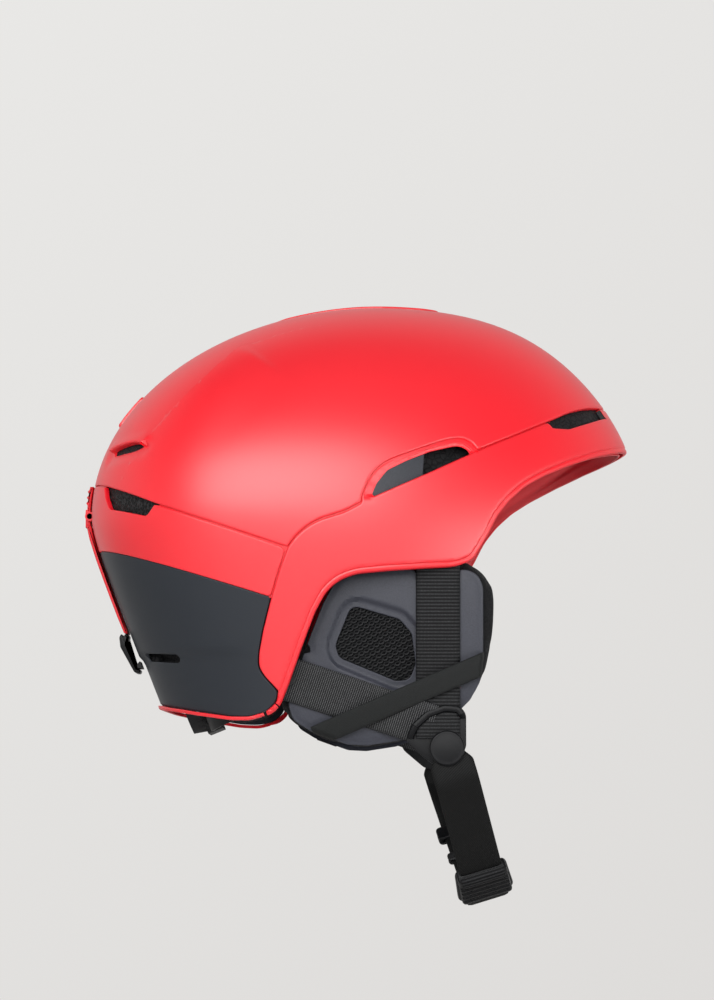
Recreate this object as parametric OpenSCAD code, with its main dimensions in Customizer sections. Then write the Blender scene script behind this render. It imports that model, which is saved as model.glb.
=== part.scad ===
// Ski helmet with soft ear pieces, fit dial, sliding crown vents and a goggle retainer.
// +X is the front, +Z is up; the origin is the middle of the head space at brow level.

/* [Shell] */
// Overall length of the outer skin, from the brim's tip to the back
shell_l = 288; // [270:1:306]
// Width of the outer skin
shell_w = 220; // [206:1:236]
// Height of the crown above the widest ring
crown_h = 110; // [100:1:120]
// Depth of the skirt below the widest ring
skirt_h = 114; // [106:1:122]
// Wall of the moulded shells
shell_wall = 2.4; // [1.8:0.2:3]
// Gap at the parting lines between the shells
parting = 0.6; // [0.4:0.1:1]
// Height of the raised strip on the centre line
strip_rise = 0.9; // [0.6:0.1:1.5]

/* [Liner and pads] */
// Thickness of the impact liner
liner_t = 17; // [13:1:20]
// Clearance between stacked layers
layer_gap = 0.3; // [0.2:0.1:0.5]
// Thickness of the comfort pads
pad_t = 7; // [5:1:9]
// How far the brim stands out past the liner
brim_reach = 34; // [28:1:38]

/* [Ear pieces and straps] */
// How far the outer face of an ear frame lies inside the shell's widest line
ear_inset = 23; // [22:1:26]
// Thickness of an ear cushion
ear_cushion_t = 15; // [11:1:18]
// Wall of the moulded ear frame
ear_frame_t = 1.6; // [1.2:0.1:2]
// Width of the strap webbing
webbing_w = 22; // [18:1:24]
// Thickness of the strap webbing
webbing_t = 1.6; // [1.2:0.1:2]
// Width of the elastic band over the ear piece
elastic_w = 11; // [9:1:13]
// Diameter of the divider's round button
button_d = 17.5; // [15:0.5:19]
// Radius of the rivet on which the chin strap swings
rivet_r = 2.5; // [2:0.1:3]

/* [Chin loop] */
// Drop of the chin loop below the dividers, along its own plane
loop_drop = 76; // [66:1:84]
// Forward lean of the hanging chin loop
loop_lean = 17; // [12:1:22]
// Length of the buckle receiver
buckle_l = 27; // [24:1:30]
// Width of the buckle
buckle_w = 27; // [25:1:31]
// Thickness of the buckle receiver
buckle_t = 7.5; // [6.5:0.5:9]

/* [Fit system] */
// Teeth on the dial's pinion
pinion_teeth = 12; // [10:1:14]
// Gear module of the pinion and racks
gear_module = 1; // [0.9:0.05:1.1]
// Radius of the fit dial
dial_r = 13; // [12:0.5:15]
// Height of the rack arms
arm_h = 12; // [10:1:14]
// Thickness of the rack arms
arm_t = 2; // [1.6:0.1:2.4]

/* [Vent control and goggle retainer] */
// Travel of the vent shutter in degrees about the crown's centre of curvature
vent_travel = 6; // [4:1:7]
// Width of the vent shutter
shutter_w = 40; // [34:1:44]
// Width of the goggle strap
goggle_w = 22; // [18:1:26]
// Thickness of the goggle strap
goggle_t = 2.6; // [2:0.2:3.2]
// Radius of the goggle strap's hinge pin
goggle_pin_r = 1.5; // [1.3:0.1:1.7]
// Radial clearance of the hinge pins, rivets and the dial's shaft
running_gap = 0.05; // [0.03:0.01:0.1]

/* [Hidden] */
$fn = 48;

red = [0.80, 0.07, 0.09];
slate = [0.20, 0.22, 0.25];
black = [0.06, 0.06, 0.07];

// ---- the outer skin as a formula --------------------------------------------------------
ring_z = 14;                       // height of the widest ring
mid_x = 33;                        // where the front and rear quarter ellipses meet
rear_reach = shell_l * 0.5375;     // from mid_x to the back at the ring
front_reach = shell_l - rear_reach - 1;
brow_fullness = 21;                // extra reach of the forehead high on the crown
nose_in = 33;                      // how far the side bulges back behind the mean
skirt_rise = skirt_h / 114;
crown_rise = crown_h / 110;
length_rise = shell_l / 288;
width_rise = shell_w / 220;

function tuck(d, r) = sqrt(d * d + r * r) - r;
function front_x(lat, d, inset) = mid_x + (front_reach + brow_fullness * pow(sin(lat), 6) - inset)
    * cos(lat) - 0.15 * tuck(d, 40);
function rear_x(lat, d, inset) = mid_x - (rear_reach - inset) * cos(lat) + 0.4 * tuck(d, 12);
function half_w(lat, d, inset) = (shell_w / 2 - inset) * cos(lat) - 0.26 * tuck(d, 25);

// a point of the skin: latitude above the ring, drop below it, turn from the front
function skin(lat, d, turn, inset = 0, pull = 0) =
    let (f = front_x(lat, d, inset + pull), r = rear_x(lat, d, inset), c = cos(turn), s = sin(turn))
    [(f + r) / 2 + (f - r) / 2 * c - nose_in * cos(lat) * s * s,
     -half_w(lat, d, inset) * s,
     ring_z + (crown_h - inset) * sin(lat) - d];

// half width of the skin at a side-view place
function skin_y(x, z, inset = 0, pull = 0) =
    let (lat = z > ring_z ? asin(min(0.999, (z - ring_z) / (crown_h - inset))) : 0,
         d = max(0, ring_z - z), f = front_x(lat, d, inset + pull), r = rear_x(lat, d, inset),
         e = nose_in * cos(lat), h = (f - r) / 2, k = (f + r) / 2 - e - x,
         c = (-h + sqrt(max(0, h * h - 4 * e * k))) / (2 * e))
    half_w(lat, d, inset) * sqrt(max(0, 1 - c * c));

// rear skin's X at a place given from behind
function skin_x(y, z, inset = 0) =
    let (lat = z > ring_z ? asin(min(0.999, (z - ring_z) / (crown_h - inset))) : 0,
         d = max(0, ring_z - z), f = front_x(lat, d, inset), r = rear_x(lat, d, inset),
         s = min(1, abs(y) / half_w(lat, d, inset)), c = -sqrt(1 - s * s))
    (f + r) / 2 + (f - r) / 2 * c - nose_in * cos(lat) * s * s;

// place in the middle of the shell's wall, given from behind on the middle size
function in_wall(y, z) = let (across = y * width_rise, up = grade([0, z])[1])
    [skin_x(across, up, shell_wall / 2), across, up];

// outlines are drawn on the middle size and graded to the set length and heights
function grade(p) = [p[0] * length_rise,
    ring_z + (p[1] - ring_z) * (p[1] > ring_z ? crown_rise : skirt_rise)];
function graded(points) = [for (p = points) grade(p)];

// ---- helpers -----------------------------------------------------------------------------
around = 44;
up_rows = 10;
down_rows = 6;
levels = [for (i = [1:up_rows]) [90 * (1 - i / up_rows), 0],
          for (i = [1:down_rows]) [0, skirt_h * i / down_rows]];

// closed solid under the skin at an inset
module dome(inset = 0, pull = 0) {
    ring = [for (l = levels) for (k = [0:around - 1]) skin(l[0], l[1], 360 * k / around, inset, pull)];
    top = skin(90, 0, 0, inset, pull);
    foot = [mid_x, 0, ring_z - skirt_h];
    rows = len(levels);
    polyhedron(
        points = concat([top], ring, [foot]),
        faces = concat(
            [for (k = [0:around - 1]) [0, 1 + k, 1 + (k + 1) % around]],
            [for (r = [0:rows - 2]) for (k = [0:around - 1])
                let (a = 1 + r * around + k, b = 1 + r * around + (k + 1) % around)
                each [[a, a + around, b + around], [a, b + around, b]]],
            [for (k = [0:around - 1]) let (r = 1 + (rows - 1) * around)
                [r + k, 1 + rows * around, r + (k + 1) % around]]));
}

// side-view outline cut right through the helmet
module side_cut(points, reach = 130) {
    rotate([90, 0, 0]) linear_extrude(height = 2 * reach, center = true) polygon(graded(points));
}

// rounded slot between two points
module slot(a, b, r) {
    hull() {
        translate(a) sphere(r = r, $fn = 12);
        translate(b) sphere(r = r, $fn = 12);
    }
}

// mirrored copy for the right side
module to_side(s) {
    mirror([0, s < 0 ? 1 : 0, 0]) children();
}

module both_sides() {
    children();
    mirror([0, 1, 0]) children();
}

// flat webbing along a path; across is the width direction at each point
function unit(v) = v / norm(v);
module webbing(path, across, w, t) {
    last = len(path) - 1;
    corners = [for (i = [0:last])
        let (dir = unit(path[min(i + 1, last)] - path[max(i - 1, 0)]), a = unit(across[i]),
             nrm = unit(cross(dir, a)))
        each [path[i] - a * w / 2 - nrm * t / 2, path[i] + a * w / 2 - nrm * t / 2,
              path[i] + a * w / 2 + nrm * t / 2, path[i] - a * w / 2 + nrm * t / 2]];
    polyhedron(points = corners, faces = concat([[0, 1, 2, 3]],
        [for (i = [0:last - 1]) for (k = [0:3]) let (a = 4 * i + k, b = 4 * i + (k + 1) % 4)
            [a, a + 4, b + 4, b]],
        [[for (k = [3:-1:0]) 4 * last + k]]));
}

// ---- shells --------------------------------------------------------------------------------
// lower edge of the crown, from the back over the temple arch to the brow
crown_edge = [[-150, 42], [-117, 28], [-84, 13.5], [-61, 5], [-38, -3], [-17.5, -10], [-14, -5],
    [-8, 0.5], [-1.5, 4], [11, 8], [19, 12.5], [19.5, 16], [23.5, 26], [30.5, 33], [46.5, 39.5],
    [61, 45], [69.5, 46.3], [74.5, 43.6], [77, 40.2], [95, 48.6], [117, 59.2], [126, 64.2],
    [136, 68], [180, 78]];
// face opening, ear cut and the front edge of the rear pillar
face_edge = [[182, 54], [162, 48.8], [140, 41.4], [125.6, 35.5], [112, 29], [102, 23], [94, 15.7],
    [87.5, 7.5], [82.7, -2], [78.7, -9], [74.5, -15.5], [66, -18.6], [49, -19.8], [32, -21.2],
    [16.5, -22.8], [8, -26], [1.5, -31.8], [-4, -42], [-10.5, -58.5], [-17, -76], [-21.6, -87],
    [-26, -91.2], [-37, -93.5]];
// gap between the rear pillar and the rear shell, top to bottom
pillar_gap = [[-17.5, -10], [-19.5, -16], [-22, -23], [-25.3, -34], [-29.5, -50], [-31.8, -62],
    [-31.8, -68], [-29.3, -72.3], [-22.8, -79.2]];
// lower edge of the grey panel
panel_foot = [[-24.8, -84.8], [-30, -89.6], [-37, -92.2], [-47, -92.2], [-64, -89.6], [-80, -86.6],
    [-105, -79]];
// border between the red band and the grey panel
border = [[-25.3, -34], [-150, 5.4]];

function lowered(points, by) = [for (p = points) [p[0], p[1] - by]];
function reversed(points) = [for (i = [len(points) - 1:-1:0]) points[i]];

// skin layer of one wall inside a side-view outline
module shell(outline, inset = 0) {
    difference() {
        intersection() {
            dome(inset);
            side_cut(outline);
        }
        dome(shell_wall);
    }
}

// where the vent mechanism turns: centre of curvature of the crown's rear profile
vent_lat = 30;
vent_c = [mid_x - (rear_reach * rear_reach - crown_h * crown_h) / rear_reach * pow(cos(vent_lat), 3),
    ring_z - (rear_reach * rear_reach - crown_h * crown_h) / crown_h * pow(sin(vent_lat), 3)];
vent_p = [mid_x - rear_reach * cos(vent_lat), ring_z + crown_h * sin(vent_lat)];
vent_r = norm(vent_p - vent_c);
vent_dir = atan2(vent_p[1] - vent_c[1], vent_p[0] - vent_c[0]); // polar angle of the knob

liner_in = shell_wall + layer_gap;

// the crown's rear point at a polar angle about the vent centre, given its latitude
function rear_point(lat, y, out = 0) =
    let (p = skin(lat, 0, 180 - asin(min(1, abs(y) / half_w(lat, 0, 0))), -out))
    [p[0], y, p[2]];

module crown_vents() {
    for (y = [-13, 13])
        for (lat = [41, 50])
            slot(rear_point(lat, y), rear_point(lat + 5, y), 3);
}

module exhaust_slots() {
    for (s = [-1, 1])
        slot(in_wall(s * 73, 44.8), in_wall(s * 47, 43.6), 1.8);
}

module crown_shell() {
    color(red) difference() {
        shell(concat(crown_edge, [[180, 140], [-150, 140]]));
        crown_vents();
        exhaust_slots();
        stem_slot();
    }
}

stem_w = 5;
module stem_slot() {
    translate([vent_c[0], 0, vent_c[1]])
        hull() for (turn = [-0.4, vent_travel + 0.4])
            rotate([0, turn - vent_dir, 0]) translate([vent_r, 0, 0]) rotate([0, 90, 0])
                cylinder(d = stem_w + 0.8, h = 12, center = true, $fn = 24);
}

brim_root = 131;
module brow_side_shell() {
    // front vents open between the brow band and the crown, left and right of a centre bridge
    vent = [[116, 54.5], [125, 54.6], [136, 59.3], [150, 66], [150, 73], [128, 67], [116, 61]];
    color(red) difference() {
        intersection() {
            dome(0);
            side_cut(concat(lowered(crown_edge_forward(), parting), face_edge,
                reversed([for (i = [0:2]) panel_foot[i] - [0, 0.1]]), reversed(pillar_gap)));
        }
        intersection() {
            dome(shell_wall);
            side_cut([[-60, -120], [brim_root, -120], [brim_root, 58], [brim_root - 6, 120], [-60, 120]]);
        }
        temple_opening();
        for (s = [-1, 1])
            intersection() {
                side_cut(vent);
                translate([90, s > 0 ? 23 : -63, 30]) cube([80, 40, 60]);
            }
        brim_scoop();
    }
}

// the crown's edge from the pillar gap forwards
function crown_edge_forward() = [for (i = [5:len(crown_edge) - 1]) crown_edge[i]];

module temple_opening() {
    side_cut([[24, 14.6], [27, 22], [32.5, 29], [42, 34], [54, 39.2], [66.5, 42.5], [70.5, 42.2],
        [75, 38.9], [53.3, 28.2]]);
}

// hollow under the brim
module brim_scoop() {
    for (s = [-1, 0, 1])
        hull() {
            translate([brim_root - 2, s * 26, 38]) scale([0.9, 1.6, 1]) sphere(r = 12, $fn = 16);
            translate([brim_root + 10, s * 14, 38]) scale([1, 1.6, 0.8]) sphere(r = 10, $fn = 16);
        }
}

module rear_vent() {
    side_cut([[-112, 24.3], [-83.5, 13], [-88.3, 7.2], [-108.5, 12.9], [-111, 19.3]]);
}

module rear_shell_band() {
    color(red) difference() {
        shell(concat(lowered([for (i = [0:4]) crown_edge[i]], parting), [[-18.6, -10.6]],
            [for (i = [1:3]) pillar_gap[i] - [parting, 0]], [border[1]]));
        rear_vent();
        goggle_fixings();
    }
}

module rear_lower_panel() {
    color(slate) difference() {
        shell(concat([for (i = [3:8]) pillar_gap[i] - [parting, parting / 2]],
            [for (p = panel_foot) p + [-parting, parting]], [[-150, -60], [-150, border[1][1] - parting]]), 0.3);
        for (s = [-1, 1])
            slot(in_wall(s * 40, -61.3), in_wall(s * 66, -63.2), 2.3);
    }
}

module rim_bead() {
    foot = concat([panel_foot[2] - [parting, 0]], [for (i = [3:6]) panel_foot[i]]);
    color(red) shell(concat(foot, reversed(lowered(foot, 1.6))), 0.3);
}

// raised strip on the crown's centre line
module crown_strip() {
    color(red) difference() {
        intersection() {
            dome(-strip_rise);
            linear_extrude(height = 200) hull() both_sides()
                polygon([for (p = [[-26, -9], [-20, -15], [30, -17], [52, -12], [59, -6], [0, 0]])
                    [p[0] * length_rise, p[1]]]);
        }
        dome(0);
    }
}

temple_zone = [[17, 8], [23, 30], [31, 38], [70, 50], [84, 43], [53, 22]];
filter_zone = [[-114, 27], [-79, 14.5], [-86, 3], [-112, 10]];
filter_t = 3;

// lining of a side vent, seated in the liner behind the shell
module vent_lining(zone, thick) {
    difference() {
        intersection() {
            dome(liner_in);
            offset_cut(zone);
        }
        dome(liner_in + thick);
        translate([-200, -12, -100]) cube([400, 24, 300]);
    }
}
module offset_cut(zone) {
    rotate([90, 0, 0]) linear_extrude(height = 260, center = true)
        offset(delta = -layer_gap) polygon(graded(zone));
}
module temple_inserts() {
    color(slate) vent_lining(temple_zone, filter_t);
}
module exhaust_filters() {
    color(black) vent_lining(filter_zone, filter_t);
}

// ---- vent control -------------------------------------------------------------------------
shutter_in = shell_wall + 1.4;     // depth of the shutter's outer face below the skin
shutter_t = 1.2;
lateral_r = 92;                    // cross-wise crown radius at the shutter

// ring section about the vent centre, from one angle to another
module vent_arc(inner, thick, width, from, to) {
    bow = width * width / 8 / lateral_r;
    translate([vent_c[0], 0, vent_c[1]]) rotate([90, 0, 0])
        rotate_extrude(angle = to - from, start = from)
            polygon([for (i = [-4:4]) [vent_r - inner - bow * i * i / 16, i * width / 8],
                for (i = [4:-1:-4]) [vent_r - inner - thick - bow * i * i / 16, i * width / 8]]);
}

module vent_knob() {
    half = 10 / vent_r * 57.3;
    color(red) {
        vent_arc(-2.2, 1.9, 14, vent_dir - half, vent_dir + half);
        translate([vent_c[0], 0, vent_c[1]]) rotate([0, -vent_dir, 0])
            translate([vent_r - shutter_in, 0, 0]) rotate([0, 90, 0])
                cylinder(d = stem_w, h = shutter_in + 1);
    }
}

module vent_shutter() {
    from = vent_dir - 30;
    color(black) difference() {
        vent_arc(shutter_in, shutter_t, shutter_w, from, vent_dir + 7);
        for (y = [-13, 13])
            for (lat = [41, 50])
                slot(rear_point(lat, y, -5), rear_point(lat + 5, y, -5), 3.4);
    }
}

// ---- liner and pads -----------------------------------------------------------------------
liner_out = liner_in + liner_t;
// the fit dial's shaft, 8 mm inside the liner's inner face at the nape
dial_drop = 97 * skirt_rise;
dial_at = [rear_x(0, dial_drop, liner_out) + 8.3, 0, ring_z - dial_drop];
dial_tilt = -112;
liner_edge = [[brim_root - 0.5, 60], [brim_root - 0.5, 42], [112, 32], [101, 22], [92, 12],
    [84, 2], [76, -5], [60, -6], [18, -7], [0, -11], [-12, -28], [-23, -50], [-34, -72], [-48, -84],
    [-62, -84], [-84, -80], [-130, -70], [-130, 140], [brim_root - 8, 140]];

module impact_liner() {
    color(black) difference() {
        intersection() {
            dome(liner_in);
            side_cut(liner_edge);
        }
        dome(liner_out, brim_reach);
        // pocket for the vent shutter, one travel longer than it is
        vent_arc(shell_wall - 1, shutter_in + shutter_t + 2 - shell_wall, shutter_w + 2,
            vent_dir - 30 - vent_travel - 2, vent_dir + 9 + vent_travel);
        // air channels under the vents, front to back
        for (s = [-1, 1])
            for (i = [0:2])
                slot(skin(22 + 20 * i, 0, s * 24, liner_out - 3, brim_reach),
                    skin(42 + 20 * i, 0, s * 30, liner_out - 3, brim_reach), 5);
        for (s = [-1, 1])
            for (i = [0:2])
                slot(skin(20 + 20 * i, 0, s * 155, liner_out - 3, brim_reach),
                    skin(40 + 20 * i, 0, s * 150, liner_out - 3, brim_reach), 5);
        // seats of the temple inserts and the exhaust filters
        difference() {
            union() {
                side_cut(temple_zone);
                side_cut(filter_zone);
            }
            dome(liner_in + filter_t + layer_gap);
        }
        // passages from the crown vents and the rear side vents into the hollow
        for (s = [-1, 1])
            for (p = [[46, 171], [62, 16], [4, 138]])
                slot(skin(p[0], 0, s * p[1], liner_in - 2), skin(p[0], 0, s * p[1], liner_out + 2, brim_reach), 4);
        translate([dial_at[0] - 36, -dial_r - 1, dial_at[2] - 17]) cube([60, 2 * dial_r + 2, 34]);
    }
}

pad_in = liner_out + layer_gap;
pad_round = 7;                     // corner radius of the pads

// layer of padding that lines the liner's hollow
module pad_layer() {
    difference() {
        dome(pad_in, brim_reach);
        dome(pad_in + pad_t, brim_reach);
    }
}
module rounded(points, r) {
    offset(r = r, $fn = 20) offset(delta = -r) polygon(points);
}
// pad outline seen from the side
module side_pad_cut(points, reach) {
    rotate([90, 0, 0]) linear_extrude(height = 2 * reach, center = true) rounded(graded(points), pad_round);
}
module brow_pad() {
    color(black) intersection() {
        pad_layer();
        rotate([0, 0, 90]) rotate([90, 0, 0]) linear_extrude(height = 200)
            rounded([for (p = [[-72, 33], [72, 33], [62, 56], [-62, 56]])
                [p[0] * width_rise, grade([0, p[1]])[1]]], pad_round);
    }
}
// middle strip with two wings, seen from above
module crown_pad() {
    strip = [[-78, -13], [-30, -15], [-22, -44], [16, -48], [22, -16], [62, -14]];
    color(black) intersection() {
        pad_layer();
        linear_extrude(height = 200)
            rounded([for (p = concat(strip, reversed([for (q = strip) [q[0], -q[1]]])))
                [p[0] * length_rise, p[1] * width_rise]], pad_round);
    }
}
module side_pad(s) {
    color(black) intersection() {
        pad_layer();
        side_pad_cut([[-62, 10], [14, 18], [24, 34], [8, 52], [-52, 48]], 130);
        translate([-150, s > 0 ? 5 : -135, -20]) cube([300, 130, 100]);
    }
}
module left_side_pad() { side_pad(1); }
module right_side_pad() { side_pad(-1); }
module nape_pad() {
    color(black) intersection() {
        pad_layer();
        translate([-200, 0, 0]) rotate([0, 0, 90]) rotate([90, 0, 0]) linear_extrude(height = 160)
            rounded([for (p = [[-46, -8], [46, -8], [36, -38], [-36, -38]])
                [p[0] * width_rise, grade([0, p[1]])[1]]], pad_round);
    }
}

// ---- fit system ---------------------------------------------------------------------------
// local frame of the dial: +Z along its shaft, towards the back of the neck
pitch_r = pinion_teeth * gear_module / 2;
mesh_gap = 0.15;
shaft_r = 3;
screw_r = 1.6;
rack_teeth = 5;
rack_pitch = PI * gear_module;
rack_base = pitch_r + 1.25 * gear_module + mesh_gap;   // from the shaft to the foot of the rack's teeth
housing_w = 2 * dial_r + 14;
screw_at = housing_w / 2 - 4;

module at_dial() {
    translate(dial_at) rotate([0, dial_tilt, 0]) children();
}

// trapezoid tooth at the origin, pointing along +X
module tooth_profile(root, tip, h) {
    polygon([[-0.5, -root], [h, -tip], [h, tip], [-0.5, root]]);
}

module pinion(h) {
    root_r = pitch_r - 1.2 * gear_module;
    linear_extrude(height = h) {
        circle(r = root_r);
        for (i = [0:pinion_teeth - 1])
            rotate(360 / pinion_teeth * i) translate([root_r, 0])
                tooth_profile(1.12 * gear_module, 0.32 * gear_module, 2.1 * gear_module);
    }
}

rack_z = 2.2;
// teeth face the pinion; a valley sits on the pinion's tooth at rest
module rack(s) {
    translate([0, 0, rack_z]) linear_extrude(height = arm_t)
        scale([s, s]) {
            translate([rack_base, -rack_teeth * rack_pitch / 2 - 1]) square([3, rack_teeth * rack_pitch + 14]);
            for (i = [0:rack_teeth - 1])
                translate([rack_base + 0.2, (i - rack_teeth / 2 + 1) * rack_pitch])
                    rotate(180) tooth_profile(1.05 * gear_module, 0.3 * gear_module, 2.1 * gear_module);
        }
}

module fit_dial() {
    color(black) at_dial() {
        translate([0, 0, rack_z - 0.2]) pinion(arm_t + 0.4);
        translate([0, 0, rack_z + arm_t]) cylinder(r = shaft_r, h = 4.6 - arm_t);
        difference() {
            translate([0, 0, 6.8]) cylinder(r1 = dial_r, r2 = dial_r - 1.5, h = 7);
            for (i = [0:17])
                rotate(20 * i) translate([dial_r + 0.6, 0, 6]) cylinder(r = 1.3, h = 9, $fn = 24);
        }
        cylinder(r = shaft_r, h = rack_z);
    }
}

module dial_housing() {
    color(black) at_dial() difference() {
        translate([0, 0, -1.8]) linear_extrude(height = 8.2) offset(r = 4)
            square([2 * (pitch_r + 9) - 8, housing_w - 8], center = true);
        translate([-(pitch_r + 5), -housing_w, rack_z - 0.4])
            cube([2 * (pitch_r + 5), 2 * housing_w, arm_t + 0.8]);
        translate([0, 0, -0.4]) cylinder(r = shaft_r + running_gap, h = 10);
        for (s = [-1, 1])
            translate([0, s * screw_at, -5]) cylinder(r = screw_r + 0.1, h = 20);
    }
}

module dial_screws() {
    color("silver") at_dial() for (s = [-1, 1])
        translate([0, s * screw_at, 0]) {
            translate([0, 0, 6.45]) cylinder(r = 2.8, h = 1.4);
            translate([0, 0, rack_z + arm_t + 0.6]) cylinder(r = screw_r, h = 6.45 - rack_z - arm_t - 0.6);
        }
}

// curved arm that hugs the nape from the housing towards the ear
arm_r = 38;
arm_wrap = 62;
module rack_arm(s) {
    color(black) at_dial() {
        rack(s);
        // the arm leaves the rack sideways and bends forwards round the neck
        translate([s * (rack_base + 1.5), 0, rack_z])
            to_side(s)
                translate([0, dial_r + 12, -arm_r]) rotate([90, 0, 90])
                    translate([0, 0, -arm_h / 2])
                        rotate_extrude(angle = -arm_wrap, start = 90)
                            translate([arm_r, 0]) square([arm_t, arm_h]);
        translate([s * (rack_base + 1.5), s * (dial_r + 6), rack_z + arm_t / 2])
            cube([3, 14, arm_t], center = true);
    }
}
module left_rack_arm() { rack_arm(1); }
module right_rack_arm() { rack_arm(-1); }

// ---- ear pieces ---------------------------------------------------------------------------
// the ear piece's outer face: nearly upright at the top, tucked in towards the jaw
ear_tuck = 0.00165;
ear_face = shell_w / 2 - ear_inset;
function ear_y(z) = ear_face - ear_tuck * pow(max(0, -20 - z), 2);

ear_outline = [[10, -15], [66, -13], [80, -20], [85.5, -31], [85, -48], [82.5, -66], [77, -81],
    [66, -92], [52, -100], [36, -106], [20, -108], [2, -104.5], [-12, -98], [-23, -91], [-16, -72], [-6, -50],
    [0, -34]];

module ear_cushion(s) {
    color(black) hull() for (p = graded(ear_outline))
        translate([p[0] * 0.97, s * (ear_y(p[1]) - ear_frame_t - 1), p[1] * 0.98])
            rotate([s * 90, 0, 0]) cylinder(r1 = 3, r2 = 5, h = ear_cushion_t, $fn = 10);
}
module left_ear_cushion() { ear_cushion(1); }
module right_ear_cushion() { ear_cushion(-1); }

window = [[14, -37], [38, -44], [44, -51], [46, -66], [43, -74], [36, -74.5], [8, -63], [6, -57]];
frame_outline = [[10, -20], [70, -19], [77, -22], [79.5, -28], [79.5, -62], [78, -75], [73, -84], [66, -91],
    [52, -99], [38, -104], [22, -106.5], [12, -106], [-6, -99.5], [-15, -94], [-17.5, -86], [-9, -60], [0, -36],
    [5, -27]];

// slab that follows the ear piece's curved face
module ear_slab(outline, out, thick, s) {
    cols = 8;
    for (i = [0:cols - 1])
        hull() for (z = [-15 - 96 * i / cols, -15 - 96 * (i + 1) / cols])
            intersection() {
                rotate([90, 0, 0]) linear_extrude(height = 400, center = true)
                    polygon(graded(outline));
                translate([-100, min(s * (ear_y(z) + out), s * (ear_y(z) + out - thick)), z - 0.005])
                    cube([300, thick, 0.01]);
            }
}

module ear_frame(s) {
    color(slate) difference() {
        ear_slab(frame_outline, 0, ear_frame_t, s);
        ear_window(s, 0);
    }
}
module ear_window(s, grow) {
    rotate([90, 0, 0]) linear_extrude(height = 400, center = true)
        offset(r = 2 + grow, $fn = 24) offset(delta = -2) polygon(graded(window));
}
module left_ear_frame() { ear_frame(1); }
module right_ear_frame() { ear_frame(-1); }

module ear_mesh(s) {
    color(black) intersection() {
        ear_slab(frame_outline, -ear_frame_t / 2, ear_frame_t / 2, s);
        ear_window(s, -layer_gap);
    }
}
module left_ear_mesh() { ear_mesh(1); }
module right_ear_mesh() { ear_mesh(-1); }

// straps on the ear piece, side +1 left, -1 right
function ear_slope(z) = 2 * ear_tuck * max(0, -20 - z);
function on_ear(x, z, out, s) = let (g = grade([x, z])) [g[0], s * (ear_y(g[1]) + out), g[1]];

// width direction of webbing that lies on the ear piece, sloping by rise per mm along X
function along_ear(x, z, rise, s) = [-rise, s * ear_slope(z), 1];

divider_t = 1.4;
strap_out = layer_gap + webbing_t / 2;      // middle of the webbing over the ear frame
plate_out = divider_t + strap_out;          // and over the divider plate
front_strap_x = 57;
module front_strap(s) {
    path = concat(
        [for (z = [-8, -20, -32, -46, -60, -72]) on_ear(front_strap_x, z, strap_out, s)],
        [for (z = [-80, -94]) let (g = grade([front_strap_x, z])) [g[0], s * (divider_y + plate_out), g[1]]]);
    color(black) webbing(path, [for (p = path) [1, 0, 0]], webbing_w, webbing_t);
}
module left_front_strap() { front_strap(1); }
module right_front_strap() { front_strap(-1); }

rear_strap_fall = -0.33;
function rear_strap_z(x) = -75 + rear_strap_fall * (x + 13);
module rear_strap(s) {
    on_plate = grade([41, rear_strap_z(41)]);
    path = concat([for (x = [-20, -13, -4, 6, 16, 25]) on_ear(x, rear_strap_z(x), strap_out, s)],
        [[on_plate[0] - 6, s * (divider_y + plate_out - 0.9), on_plate[1] - 6 * rear_strap_fall],
         [on_plate[0], s * (divider_y + plate_out), on_plate[1]]]);
    color(black) webbing(path, [for (i = [0:len(path) - 1])
        i < 6 ? along_ear(0, path[i][2], rear_strap_fall, s) : [-rear_strap_fall, 0, 1]], webbing_w, webbing_t);
}
module left_rear_strap() { rear_strap(1); }
module right_rear_strap() { rear_strap(-1); }

elastic_t = 1.2;
elastic_rise = 0.43;
module elastic_band(s) {
    out = 2 * layer_gap + webbing_t + elastic_t / 2 + 0.5;
    // it bulges over the two straps that it crosses
    path = [for (p = [[-2, 0], [12, 0.8], [27, 1.9], [42, 2.2], [57, 1.9], [70, 1], [80, 0]])
        on_ear(p[0], -100.5 + elastic_rise * p[0], out + p[1], s)];
    color(black) webbing(path, [for (p = path) along_ear(0, p[2], elastic_rise, s)], elastic_w, elastic_t);
}
module left_elastic_band() { elastic_band(1); }
module right_elastic_band() { elastic_band(-1); }

// divider plate with a raised rim, carrying the button's rivet
button_at = grade([61.4, -108]);
divider_y = ear_y(grade([0, -86])[1]) + 0.6;
divider_outline = [[40, -104], [44.5, -95.5], [51, -89.5], [60, -86.3], [68, -87], [71, -91], [71, -107],
    [68, -114], [61, -118], [53, -115]];
module at_divider(s) {
    translate([button_at[0], s * divider_y, button_at[1]]) rotate([-s * 90, 0, 0]) children();
}
module divider_shape(grow) {
    translate([-button_at[0], 0]) scale([1, -1]) translate([0, -button_at[1]])
        offset(r = 3 + grow) offset(delta = -3) polygon(graded(divider_outline));
}
rim_h = 5.2;
slot_h = divider_t + webbing_t + 2 * layer_gap;
module divider(s) {
    color(black) at_divider(s) to_side(s) difference() {
        union() {
            linear_extrude(height = divider_t) divider_shape(0);
            linear_extrude(height = rim_h) difference() {
                divider_shape(0);
                divider_shape(-2.2);
                // the chin strap swings in the open lower side
                translate([-40, -5]) square([80, 40]);
            }
        }
        // slots in the rim for the front and the rear strap
        translate([front_strap_x * length_rise - button_at[0] - webbing_w / 2 - 0.3, -40, divider_t])
            cube([webbing_w + 0.6, 40, slot_h - divider_t]);
        translate([-40, -14, divider_t]) cube([30, 30, slot_h - divider_t]);
        translate([0, 0, -1]) cylinder(r = rivet_r + running_gap, h = 12);
    }
}
module left_divider() { divider(1); }
module right_divider() { divider(-1); }

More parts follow.
